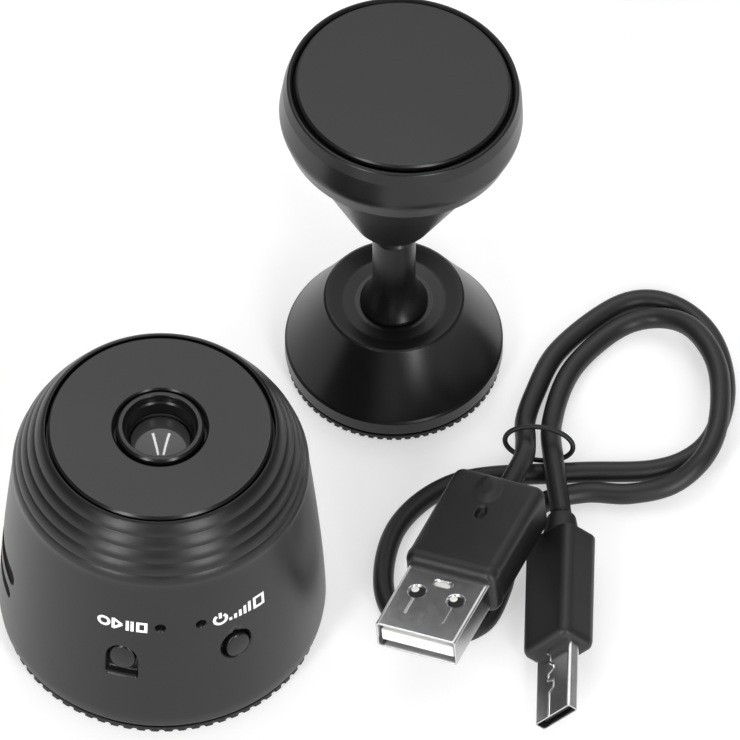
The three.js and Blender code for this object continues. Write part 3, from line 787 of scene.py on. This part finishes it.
def build_ports():
    """Inside the slots: the socket's bright mouth with its tongue, and the card with its grip ridge."""
    axes = wall_axes(PORT_SIDE)
    origin = axes[2] * (float(side_radius(PORT_Z)) - PORT_SUNK - 0.2) + [0, 0, PORT_Z]
    mouth = lofted(inset_rows((3.75, 1.2, 0.5), [(-1.2, 0.0), (0.25, 0.0), (0.35, 0.06), (0.4, 0.16),
                                                 (0.36, 0.28), (0.2, 0.34), (-0.9, 0.34)]), 96)
    tongue = lofted(bar_rows((2.6, 0.32, 0.12), -1.1, 0.15, 0.1, inner=4, steps=3), 64) + [0, 0, 0.15]
    for name, grid, node, slot in (("socket_mouth", mouth, "usb_socket", "bright_plate"),
                                   ("socket_tongue", tongue, None, "chip_plastic")):
        points, faces = capped(grid)
        make_piece(name, placed(points[:, [0, 2, 1]], origin, axes), faces, "camera", node, slot,
                   recalculate=True)
    low, high = (np.array(v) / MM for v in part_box("memory_card"))
    length, width, thickness = high - low

    def card_relief(x, y, nz):
        """A ridge across the card's top near its outer end, as a bell curve of the distance along it."""
        ridge = np.exp(-((y - 0.5) / 0.35) ** 2) * (nz > 0.7) * (np.abs(x) < 4.6)
        return 0.12 * ridge - 0.05

    rows = bar_rows((width / 2, thickness / 2, 0.12), 0.0, length, 0.12, inner=60, steps=3)
    points, faces = capped(lofted(rows, 160, card_relief))
    middle = (low + high) / 2
    points = placed(points, (low[0], middle[1], middle[2]), [[0, 1, 0], [1, 0, 0], [0, 0, 1]])
    make_piece("card_body", points, faces, "memory_card", "memory_card", recalculate=True)


# ---------------------------------------------------------------- stand

BALL_R = 4.5
BALL_NECK_R = 2.1


def build_stand(settings):
    """Weighted cone foot with a dished top, its notched ring and pad, and the column with its ball."""
    base = rounded([(3.9, 1.3), (14.7, 1.3), (15.15, 1.8), (15.15, 3.9, 0.15), (14.85, 4.25, 0.15),
                    (9.75, 13.35, 0.12), (9.4, 13.6, 0.12), (8.8, 13.4, 0.3), (7.2, 12.75, 1.5),
                    (5.4, 12.45, 0.6), (1.8, 12.4), (1.8, 4.6), (3.9, 4.6)], 0.15, closed=True)
    spun("stand_cone", base, "stand", "stand_base", 256, STAND)
    notched_ring("stand_notched_foot", "stand", "stand_foot_ring", 13.1, 14.9, settings, STAND)
    pad = rounded([(0, 0.06), (5.0, 0.06), (5.3, 0.0), (12.3, 0.0), (12.8, 0.3), (12.8, 1.0), (0, 1.0)], 0.15)
    spun("stand_sole", pad, "stand", "stand_pad", 192, STAND)
    z = BALL[2]
    turns = np.linspace(math.asin(BALL_NECK_R / BALL_R), math.pi, 40)
    ball = [(BALL_R * math.sin(a), z - BALL_R * math.cos(a)) for a in turns]
    ball[-1] = (0.0, z + BALL_R)
    foot = [(3.0 + 1.7 * (1 - t) ** 2.2, 12.9 + 6.1 * t) for t in np.linspace(0, 1, 24)]
    stem = rounded([(0, 12.7), (4.6, 12.7), foot[0]], 0.08)
    neck = rounded([(3.0, 19.4), (3.0, 28.0), (2.1, 29.6), (2.1, 31.0)], 0.5)[1:-1]
    spun("ball_column", np.vstack([stem, foot[1:], neck, ball]), "stand", "stem_with_ball", 128, STAND)


def build_head():
    """Collar cone, barrel-sided shell and the face pad, all leaning along the head's axis. A spigot under the
    shell reaches into the collar, so that no light shows through their joint."""
    collar = rounded([(4.9, -3.6), (5.6, -3.6, 0.2), (6.1, -2.6, 0.5), (13.25, 11.9, 0.15), (12.2, 11.9),
                      (6.6, 2.4), (6.6, 1.8), (5.6, 1.8), (5.6, -2.3), (4.9, -2.5)], 0.12, closed=True)
    shell = rounded([(9.9, 11.5), (11.65, 11.5), (11.65, 12.0), (13.45, 12.0, 0.1), (13.95, 12.75, 0.2),
                     (15.6, 14.6, 2.0), (16.8, 18.0, 4.0), (16.4, 22.2, 1.5), (15.95, 24.0, 0.3),
                     (15.6, 24.2, 0.2), (15.2, 23.9, 0.1), (15.1, 23.4), (13.6, 23.1), (13.6, 15.2),
                     (9.9, 14.6)], 0.2, steps=6, closed=True)
    pad = rounded([(0, 23.7), (14.75, 23.7), (14.75, 24.3, 0.15), (14.5, 24.6, 0.15), (0, 24.6)], 0.1)
    for name, profile, node, segments in (("collar_cone", collar, "head_collar", 192),
                                          ("head_body", shell, "head_shell", 256),
                                          ("pad_disc", pad, "face_pad", 256)):
        spun(name, profile, "head", node, segments, BALL, axes_of(HEAD_AXIS))


# ---------------------------------------------------------------- charging lead

CORD_R = 1.45
ROUTE_SPACING = 0.8
PLUG_LENGTH = 18.5
MICRO_LENGTH = 19.0
LOOP_HALF = (4.75, 2.75)
WINDOW = (2.9, 4.6)  # across from the large plug's middle, and ahead of its moulding
SHELL_LEVEL = 2.0
INSET_LEVEL = 2.06

# The small shell's stepped seam, across and ahead of its moulding.
SEAM = ((1.3, 0), (0.5, 0.6), (0.5, 2.1), (-0.2, 2.7), (-0.2, 3.3), (0.8, 3.8), (0.8, 4.9), (-0.3, 5.3),
        (-0.3, 6.5), (0.5, 7.0), (0.5, 11.0))


def smooth_route(points):
    """A centripetal Catmull-Rom curve through given points, resampled to even spacing: on each span
    four cubic weights blend the two ends and their neighbours."""
    p = np.array(points, float)
    p = np.vstack([2 * p[0] - p[1], p, 2 * p[-1] - p[-2]])
    out = []
    for i in range(1, len(p) - 2):
        a, b, c, d = p[i - 1:i + 3]
        t0 = 0.0
        t1 = t0 + np.linalg.norm(b - a) ** 0.5
        t2 = t1 + np.linalg.norm(c - b) ** 0.5
        t3 = t2 + np.linalg.norm(d - c) ** 0.5
        t = np.linspace(t1, t2, 24, endpoint=False)[:, None]
        ab = (t1 - t) / (t1 - t0) * a + (t - t0) / (t1 - t0) * b
        bc = (t2 - t) / (t2 - t1) * b + (t - t1) / (t2 - t1) * c
        cd = (t3 - t) / (t3 - t2) * c + (t - t2) / (t3 - t2) * d
        abc = (t2 - t) / (t2 - t0) * ab + (t - t0) / (t2 - t0) * bc
        bcd = (t3 - t) / (t3 - t1) * bc + (t - t1) / (t3 - t1) * cd
        out.append((t2 - t) / (t2 - t1) * abc + (t - t1) / (t2 - t1) * bcd)
    line = np.vstack([*out, p[-2:-1]])
    along = np.concatenate([[0], np.cumsum(np.linalg.norm(np.diff(line, axis=0), axis=1))])
    at = np.linspace(0, along[-1], int(along[-1] / ROUTE_SPACING) + 1)
    return np.stack([np.interp(at, along, line[:, k]) for k in range(3)], 1)


def tube(line, radius, sides=24, closed=False):
    """A round tube: at each point a circle stands across the line, and its start direction is carried along
    by taking away what the new direction holds of it."""
    d = np.gradient(line, axis=0) if not closed else np.roll(line, -1, 0) - np.roll(line, 1, 0)
    d /= np.linalg.norm(d, axis=1)[:, None]
    u = np.cross(d[0], [0, 0, 1.0])
    a = np.linspace(0, TURN, sides, endpoint=False)[:, None]
    rings = []
    for point, direction in zip(line, d):
        u = u - direction * (u @ direction)
        u /= np.linalg.norm(u)
        rings.append(point + radius * (np.cos(a) * u + np.sin(a) * np.cross(direction, u)))
    return np.array(rings)


def build_cord(settings, pieces):
    """The lead's cord, from the large plug's rear to the small plug's tail, and the elastic loop round it: an
    oval that leans by one angle and is turned by another."""
    line = smooth_route(CORD_ROUTE)
    points, faces = capped(tube(line, CORD_R))
    cord = make_piece("lead_cord_skin", points, faces, "lead", "lead_cord", recalculate=True)
    a = np.linspace(0, TURN, 96, endpoint=False)
    half_x, half_y = LOOP_HALF
    oval = np.stack([half_x * np.cos(a), half_y * np.sin(a) * math.sin(TIE_LEAN),
                     half_y * np.sin(a) * math.cos(TIE_LEAN)], 1)
    c, s = math.cos(TIE_TURN), math.sin(TIE_TURN)
    turn = [[c, s, 0], [-s, c, 0], [0, 0, 1]]
    rings = tube(placed(oval, TIE_MIDDLE, turn), settings.loop_thickness / MM / 2, 14, closed=True)
    tie = make_piece("lead_loop", rings.reshape(-1, 3), grid_faces(*rings.shape[:2], wrap_rows=True), "lead",
                     "lead_tie", recalculate=True)


def plug_pieces(rear, axes, parts):
    """The pieces of a plug, each a ring stack in the plug's own axes, capped, set in place and turned out."""
    made = []
    for name, grid, node, sharp in parts:
        points, faces = capped(grid)
        made.append(make_piece(name, placed(points, rear, axes), faces, "lead", node, sharp=sharp,
                               recalculate=True))
    return made


def large_moulding_relief(settings, x, y, nz):
    """Top of the large moulding: a raised drop for the thumb, a pit ahead of it, and a rolled front lip."""
    drop = oval_distance(x - 0.6 + 0.1 * (y - 3.2), y - 3.2, 1.9, 2.7)
    pit = oval_distance(x + 0.15, y - 7.6, 0.8, 1.3)
    mark = settings.drop_height * inside(drop, -1.5, 0.1) ** 0.7 - 0.9 * inside(pit, -0.35, 0.05)
    lip = 0.12 * np.exp(-((y - PLUG_LENGTH + 1.5) / 0.5) ** 2)
    return smooth(nz, 0.6, 0.9) * mark + lip


def large_shell_relief(x, y, nz):
    """Broad faces of the large shell: two round windows, an oblong one, and a seam ahead of each window."""
    side, ahead = np.abs(x), PLUG_LENGTH
    window = oval_distance(side - WINDOW[0], y - (ahead + WINDOW[1]), 1.25, 1.2)
    slot = box_distance(x, y - (ahead + 2.2), 1.3, 0.6, 0.55)
    seam = line_distance(side, y, [(WINDOW[0], ahead + 5), (WINDOW[0], ahead + 9)]) - 0.03
    cut = 0.26 * inside(np.minimum(window, slot), -0.1, 0.05)
    return -smooth(np.abs(nz), 0.7, 0.95) * np.maximum(cut, 0.1 * inside(seam, -0.02, 0.07))


def small_shell_relief(x, y, nz):
    """Broad faces of the small shell: the stepped seam where its sheet closes, a little proud."""
    path = [(across, MICRO_LENGTH + ahead) for across, ahead in SEAM]
    return 0.1 * smooth(np.abs(nz), 0.75, 0.95) * inside(line_distance(x, y, path), 0.06, 0.17)


def shell_grid(size, start, end, wall, relief, rows=130, count=280):
    """A folded metal shell: the outside with its relief, a rolled lip, and the lining to a closed end."""
    outside = [(y, 0.0) for y in np.linspace(start, end - 0.07, rows)]
    lip = [(end - 0.02, 0.02), (end, 0.06), (end, wall - 0.06), (end - 0.02, wall - 0.02), (end - 0.07, wall)]
    lining = [(end - 0.5, wall), (end - 5.0, wall), (start + 0.8, wall), (start + 0.7, wall + 0.4)]
    outer = lofted(inset_rows(size, outside), count, relief)
    return np.vstack([outer, lofted(inset_rows(size, lip + lining), count)])


def build_usb_a(settings):
    """The large plug: moulding, folded shell with windows and seams, tongue, and what the windows show, each a low
    button whose top falls off as the square of the distance from its middle. The black discs in the round windows
    are painted shade for the dark inside of the holes; the ivory discs over them are the plastic seen through."""
    axes = plug_axes(USB_A_HEADING, USB_A_PITCH, USB_A_ROLL)
    start, end = PLUG_LENGTH - 1.5, PLUG_LENGTH + 12.0
    body = lofted(bar_rows((6.8, 3.85, 1.6), 0.0, PLUG_LENGTH, 1.3, 1.0, inner=110, steps=8), 300,
                  lambda *place: large_moulding_relief(settings, *place))
    shell = shell_grid((6.0, 2.25, 0.5), start, end, 0.3, large_shell_relief)
    tongue = lofted(bar_rows((5.4, 0.98, 0.2), start + 2.5, end - 0.45, 0.15, inner=20, steps=3), 96)
    made = plug_pieces(USB_A_REAR, axes, (
        ("large_plug_moulding", body, "usb_a_moulding", None), ("large_plug_shell", shell, "usb_a_shell", 40),
        ("large_plug_tongue", tongue - [0, 0, 0.25], "usb_a_tongue", None)))
    for name, half, shape, level, slot, places in (
            # The first row's black discs are painted shade: they sit at the bottom of the window holes, where the
            # inside would be dark from shade.
            ("window_painted_shade", 1.12, (1, 1, 1), SHELL_LEVEL, "dark_plastic", (WINDOW, (-WINDOW[0], WINDOW[1]))),
            ("window_springs", 0.55, (1, 1, 1), INSET_LEVEL, "contact_plastic", ((3.35, 4.15), (-2.4, 4.15))),
            ("window_bridge", 1.05, (1.1, 0.5, 1), INSET_LEVEL, "contact_plastic", ((0.1, 2.25),))):
        top = [(half * k, level + 0.05 * (1 - k * k)) for k in np.linspace(0, 1, 7)[::-1]]
        button, faces = turned([(0, level - 0.12), (half, level - 0.12), *top], 40)
        points = np.vstack([button * shape + [x, PLUG_LENGTH + y, 0] for x, y in places])
        faces = [tuple(v + k * len(button) for v in face) for k in range(len(places)) for face in faces]
        made.append(make_piece(f"large_plug_{name}", placed(points, USB_A_REAR, axes), faces, "lead",
                               slot=slot, recalculate=True))
    return made


def build_micro():
    """The small plug: slim moulding with a round tapered tail, folded shell with its seam, and the tongue."""
    t = np.linspace(0, 1, 15)
    blend = smooth(t, 0, 1)
    tail = [(y, r, r, r) for y, r in ((-3.75, 1.7), (-3.72, 1.95), (-3.5, 2.05), (-1.6, 2.4))]
    waist = np.stack([-0.7 + 1.3 * t, 2.55 + 1.95 * blend, 2.55 + 0.55 * blend, 2.55 - 1.05 * blend], 1)
    rows = [(y, 0.0) for y in np.linspace(1.0, MICRO_LENGTH - 1.2, 54)]
    rows += [(MICRO_LENGTH - back, inset) for back, inset in
             ((0.8, 0.05), (0.4, 0.2), (0.12, 0.5), (0, 0.9), (0, 1.4))]
    body = lofted(np.vstack([tail, waist, inset_rows((4.5, 3.1, 1.5), rows)]), 200)
    start, end = MICRO_LENGTH - 1.0, MICRO_LENGTH + 11.0
    shell = shell_grid((3.425, 0.95, 0.45), start, end, 0.25, small_shell_relief, 120, 220)
    tongue = lofted(bar_rows((2.4, 0.27, 0.1), start + 0.9, end - 0.6, 0.1, inner=20, steps=3), 64)
    return plug_pieces(MICRO_REAR, plug_axes(MICRO_HEADING, 0.0, MICRO_ROLL), (
        ("small_plug_moulding", body, "micro_usb_moulding", None),
        ("small_plug_shell", shell, "micro_usb_shell", 40),
        ("small_plug_tongue", tongue, "micro_usb_tongue", None)))


# ---------------------------------------------------------------- stage

# Lengths here are in metres, and angles in degrees.
SENSOR = 36.0
CLIP = (0.1, 20.0)
FLOOR_REACH = 1.5
FLOOR_DROP = 0.0002
FLOOR_LINES = 24
SKY_AXIS = (0.0, 0.5, 0.866)
SKY_SHARES = (0.45, 0.95)
STRIP_TARGET = (0.03, 0.02, 0.02)
STRIP_AWAY, STRIP_RISE, STRIP_SIZE = 0.75, 0.43, (0.15, 0.86)
TUBE_TARGET = (0.0, 0.0, 0.0385)
TUBE_AWAY, TUBE_TURN, TUBE_ELEVATION, TUBE_SIZE = 0.8, 10.4, 60.6, (0.03, 0.42)


def area_light(name, place, target, size, energy):
    """A rectangular soft light that looks at a target."""
    lamp = bpy.data.lights.new(name, "AREA")
    lamp.shape = "RECTANGLE"
    lamp.size, lamp.size_y = size
    lamp.energy = energy
    light = bpy.data.objects.new(name, lamp)
    bpy.context.scene.collection.objects.link(light)
    light.location = place
    light.rotation_mode = "QUATERNION"
    light.rotation_quaternion = Vector(np.array(target) - np.array(place)).to_track_quat("-Z", "Y")


def build_camera(settings):
    """A long lens a few metres away, aimed at a point of the floor between the pieces."""
    data = bpy.data.cameras.new("View")
    view = bpy.data.objects.new("View", data)
    bpy.context.scene.collection.objects.link(view)
    tilt = math.radians(settings.elevation)
    back = np.array([0.0, -math.cos(tilt), math.sin(tilt)])
    aim = np.array([settings.aim_x, settings.aim_y, 0.0])
    view.location = aim + back * settings.distance
    view.rotation_euler = (math.pi / 2 - tilt, 0.0, 0.0)
    data.sensor_width = SENSOR
    data.lens = SENSOR * settings.distance / settings.frame_width
    data.clip_start, data.clip_end = CLIP
    bpy.context.scene.camera = view


def build_surroundings(settings):
    """Surroundings that are dim level with the floor and bright overhead and behind, by the direction's share
    of a line that leans back from straight up."""
    world = bpy.data.worlds.new("Surroundings")
    bpy.context.scene.world = world
    world.use_nodes = True
    nodes, links = world.node_tree.nodes, world.node_tree.links
    where = nodes.new("ShaderNodeTexCoord")
    share = nodes.new("ShaderNodeVectorMath")
    share.operation = "DOT_PRODUCT"
    share.inputs[1].default_value = SKY_AXIS
    level = nodes.new("ShaderNodeMapRange")
    level.interpolation_type = "SMOOTHSTEP"
    for index, value in enumerate((*SKY_SHARES, settings.horizon, settings.overhead), 1):
        level.inputs[index].default_value = value
    links.new(where.outputs["Generated"], share.inputs[0])
    links.new(share.outputs["Value"], level.inputs[0])
    links.new(level.outputs[0], nodes["Background"].inputs[1])
    nodes["Background"].inputs[0].default_value = (1, 1, 1, 1)


def build_floor(settings):
    """A pale floor that glows a little, so that shadows stay light."""
    floor = bpy.data.meshes.new("Floor")
    xy = np.linspace(-FLOOR_REACH, FLOOR_REACH, FLOOR_LINES)
    level = np.full((FLOOR_LINES, FLOOR_LINES), -FLOOR_DROP)
    points = np.stack([*np.meshgrid(xy, xy), level], -1).reshape(-1, 3)
    floor.from_pydata(points.tolist(), [], grid_faces(FLOOR_LINES, FLOOR_LINES, wrap_columns=False))
    piece = bpy.data.objects.new("Floor", floor)
    bpy.context.scene.collection.objects.link(piece)
    pale = Recipe("pale_floor", (0.6, 0.6, 0.6), 0.8, Specular_IOR_Level=0.1,
                  Emission_Strength=settings.floor_glow)
    cloud = pale.noise(60.0).between(0.3, 0.7)
    pale.put("Base Color", pale.mix(cloud, (0.58, 0.58, 0.58), (0.62, 0.62, 0.62)))
    pale.put("Emission Color", pale.mix(cloud, (0.98, 0.98, 0.98), (1.0, 1.0, 1.0)))
    floor.materials.append(pale.material)


def build_stage(settings):
    """The floor, the surroundings, two tall soft strips in front, and two slim tubes overhead."""
    build_floor(settings)
    build_surroundings(settings)
    middle = np.array(STRIP_TARGET)
    for name, turn in (("LeftStrip", settings.left_strip), ("RightStrip", settings.right_strip)):
        a = math.radians(turn)
        place = middle + [STRIP_AWAY * math.sin(a), -STRIP_AWAY * math.cos(a), STRIP_RISE]
        area_light(name, place, [*middle[:2], place[2]], STRIP_SIZE, settings.strip_power)
    rise = math.radians(TUBE_ELEVATION)
    for name, turn in (("LeftTube", -TUBE_TURN), ("RightTube", TUBE_TURN)):
        a = math.radians(turn)
        out = np.array([math.sin(a) * math.cos(rise), math.cos(a) * math.cos(rise), math.sin(rise)])
        area_light(name, TUBE_TARGET + TUBE_AWAY * out, TUBE_TARGET, TUBE_SIZE, settings.tube_power)
    bpy.context.scene.view_settings.view_transform = "Standard"


# ---------------------------------------------------------------- add-on


class StageSettings(bpy.types.PropertyGroup):
    """Where the view stands, and how bright the studio is."""

    elevation: FloatProperty(
        name="Elevation", description="Height of the view above the floor, in degrees", default=53.6)
    distance: FloatProperty(
        name="Distance", description="From the lens to the aimed point", default=3.0, unit="LENGTH")
    frame_width: FloatProperty(
        name="Frame width", description="What the view takes in across", default=0.10278, unit="LENGTH")
    aim_x: FloatProperty(
        name="Aim X", description="Aimed point on the floor, across", default=0.02858, unit="LENGTH")
    aim_y: FloatProperty(
        name="Aim Y", description="Aimed point on the floor, away", default=0.03991, unit="LENGTH")
    horizon: FloatProperty(name="Horizon", description="Brightness level with the floor", default=0.16)
    overhead: FloatProperty(name="Overhead", description="Brightness overhead and behind", default=1.1)
    floor_glow: FloatProperty(name="Floor glow", description="Light that the floor gives", default=0.5)
    strip_power: FloatProperty(name="Strip power", description="Power of each strip light", default=5.0)
    tube_power: FloatProperty(name="Tube power", description="Power of each overhead tube", default=0.36)
    left_strip: FloatProperty(name="Left strip", description="Degrees from the front", default=-33.0)
    right_strip: FloatProperty(name="Right strip", description="Degrees from the front", default=27.0)


class ShapeSettings(bpy.types.PropertyGroup):
    """Sizes of the details; plain numbers are in millimetres."""

    ripples: IntProperty(name="Ripples", description="Ripples round the case's shoulder", default=5, min=2)
    ripple_bulge: FloatProperty(
        name="Ripple bulge", description="How far each ripple stands out, mm", default=0.17)
    notches: IntProperty(name="Notches", description="Bites round each foot ring", default=72, min=12)
    notch_depth: FloatProperty(name="Notch depth", description="Depth of the bites, mm", default=0.28)
    key_dome: FloatProperty(name="Key dome", description="Fall of a key's face to its edge, mm", default=0.14)
    lens_dome: FloatProperty(name="Lens dome", description="Fall of the lens to its edge, mm", default=0.6)
    sign_stroke: FloatProperty(name="Sign stroke", description="Width of the signs' lines, mm", default=0.44)
    drop_height: FloatProperty(name="Drop height", description="Height of the thumb mark, mm", default=0.5)
    loop_thickness: FloatProperty(
        name="Loop thickness", description="Thickness of the lead's loop", default=0.00072, unit="LENGTH")


class FinishSettings(bpy.types.PropertyGroup):
    """Colours of the main finishes."""

    case: FloatVectorProperty(
        name="Case", description="Case and cover plastic", subtype="COLOR", default=(0.0062, 0.0063, 0.0066))
    coat: FloatVectorProperty(
        name="Stand coat", description="Painted stand and head", subtype="COLOR",
        default=(0.0062, 0.0063, 0.0066))
    lead: FloatVectorProperty(
        name="Lead", description="Skin of the lead and its plugs", subtype="COLOR",
        default=(0.0110, 0.0111, 0.0115))
    metal: FloatVectorProperty(
        name="Bright plate", description="Plated plug shells", subtype="COLOR", default=(0.66, 0.66, 0.67))


class BuildOperator:
    """What the building operators share."""

    bl_options = {"REGISTER", "UNDO"}


class DASHCAM_OT_stage(BuildOperator, bpy.types.Operator):
    """Set the view, the floor and the lights"""

    bl_idname = "dashcam.stage"
    bl_label = "Stage"

    def execute(self, context):
        build_camera(context.scene.dashcam_stage)
        build_stage(context.scene.dashcam_stage)
        return {"FINISHED"}


class DASHCAM_OT_lead(BuildOperator, bpy.types.Operator):
    """Make the charging lead: both plugs, the cord and its loop"""

    bl_idname = "dashcam.lead"
    bl_label = "Charging lead"

    def execute(self, context):
        shape = context.scene.dashcam_shape
        build_cord(shape, [*build_usb_a(shape), *build_micro()])
        return {"FINISHED"}


class DASHCAM_OT_case(BuildOperator, bpy.types.Operator):
    """Make the case with its ripples, wells and slots"""

    bl_idname = "dashcam.case"
    bl_label = "Case"

    def execute(self, context):
        build_housing(context.scene.dashcam_shape)
        build_underside(context.scene.dashcam_shape)
        return {"FINISHED"}


class DASHCAM_OT_front(BuildOperator, bpy.types.Operator):
    """Make the cover disc, the bezel and the lens"""

    bl_idname = "dashcam.front"
    bl_label = "Cover and lens"

    def execute(self, context):
        build_front(context.scene.dashcam_shape)
        return {"FINISHED"}


class DASHCAM_OT_keys(BuildOperator, bpy.types.Operator):
    """Make the two keys and the printed signs over them"""

    bl_idname = "dashcam.keys"
    bl_label = "Keys and signs"

    def execute(self, context):
        build_buttons(context.scene.dashcam_shape)
        build_signs(context.scene.dashcam_shape)
        return {"FINISHED"}


class DASHCAM_OT_ports(BuildOperator, bpy.types.Operator):
    """Make the socket's mouth and the memory card"""

    bl_idname = "dashcam.ports"
    bl_label = "Ports"

    def execute(self, context):
        build_ports()
        return {"FINISHED"}


class DASHCAM_OT_stand(BuildOperator, bpy.types.Operator):
    """Make the stand's foot, column and magnetic head"""

    bl_idname = "dashcam.stand"
    bl_label = "Stand"

    def execute(self, context):
        build_stand(context.scene.dashcam_shape)
        build_head()
        return {"FINISHED"}


class DASHCAM_OT_inside(BuildOperator, bpy.types.Operator):
    """Give every inner part the finish of its slot"""

    bl_idname = "dashcam.inside"
    bl_label = "Inner parts"

    def execute(self, context):
        for node, part in frame["nodes"].items():
            if not part.hide_render:
                part.data.materials.clear()
                part.data.materials.append(finish_for(SLOT_OF[node]))
        return {"FINISHED"}


OPERATORS = (DASHCAM_OT_stage, DASHCAM_OT_lead, DASHCAM_OT_case, DASHCAM_OT_front, DASHCAM_OT_keys,
             DASHCAM_OT_ports, DASHCAM_OT_stand, DASHCAM_OT_inside)


class DASHCAM_PT_panel(bpy.types.Panel):
    """The sidebar's list of building steps"""

    bl_label = "Dash Camera"
    bl_idname = "DASHCAM_PT_panel"
    bl_space_type = "VIEW_3D"
    bl_region_type = "UI"
    bl_category = "Dash Camera"

    def draw(self, context):
        for group, kind in SETTINGS.items():
            column = self.layout.column(align=True)
            for name in kind.__annotations__:
                column.prop(getattr(context.scene, group), name)
        for operator in OPERATORS:
            self.layout.operator(operator.bl_idname)


SETTINGS = {"dashcam_stage": StageSettings, "dashcam_shape": ShapeSettings, "dashcam_finish": FinishSettings}
CLASSES = (*SETTINGS.values(), *OPERATORS, DASHCAM_PT_panel)


def register():
    """Registers every class and gives the scene its three groups of settings."""
    for item in CLASSES:
        bpy.utils.register_class(item)
    for name, group in SETTINGS.items():
        setattr(bpy.types.Scene, name, PointerProperty(type=group))


def unregister():
    """Takes the settings and the classes away again."""
    for name in SETTINGS:
        delattr(bpy.types.Scene, name)
    for item in reversed(CLASSES):
        bpy.utils.unregister_class(item)


def main():
    """Registers the add-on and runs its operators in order."""
    register()
    for operator in OPERATORS:
        group, name = operator.bl_idname.split(".")
        getattr(getattr(bpy.ops, group), name)()


if __name__ == "__main__":
    main()
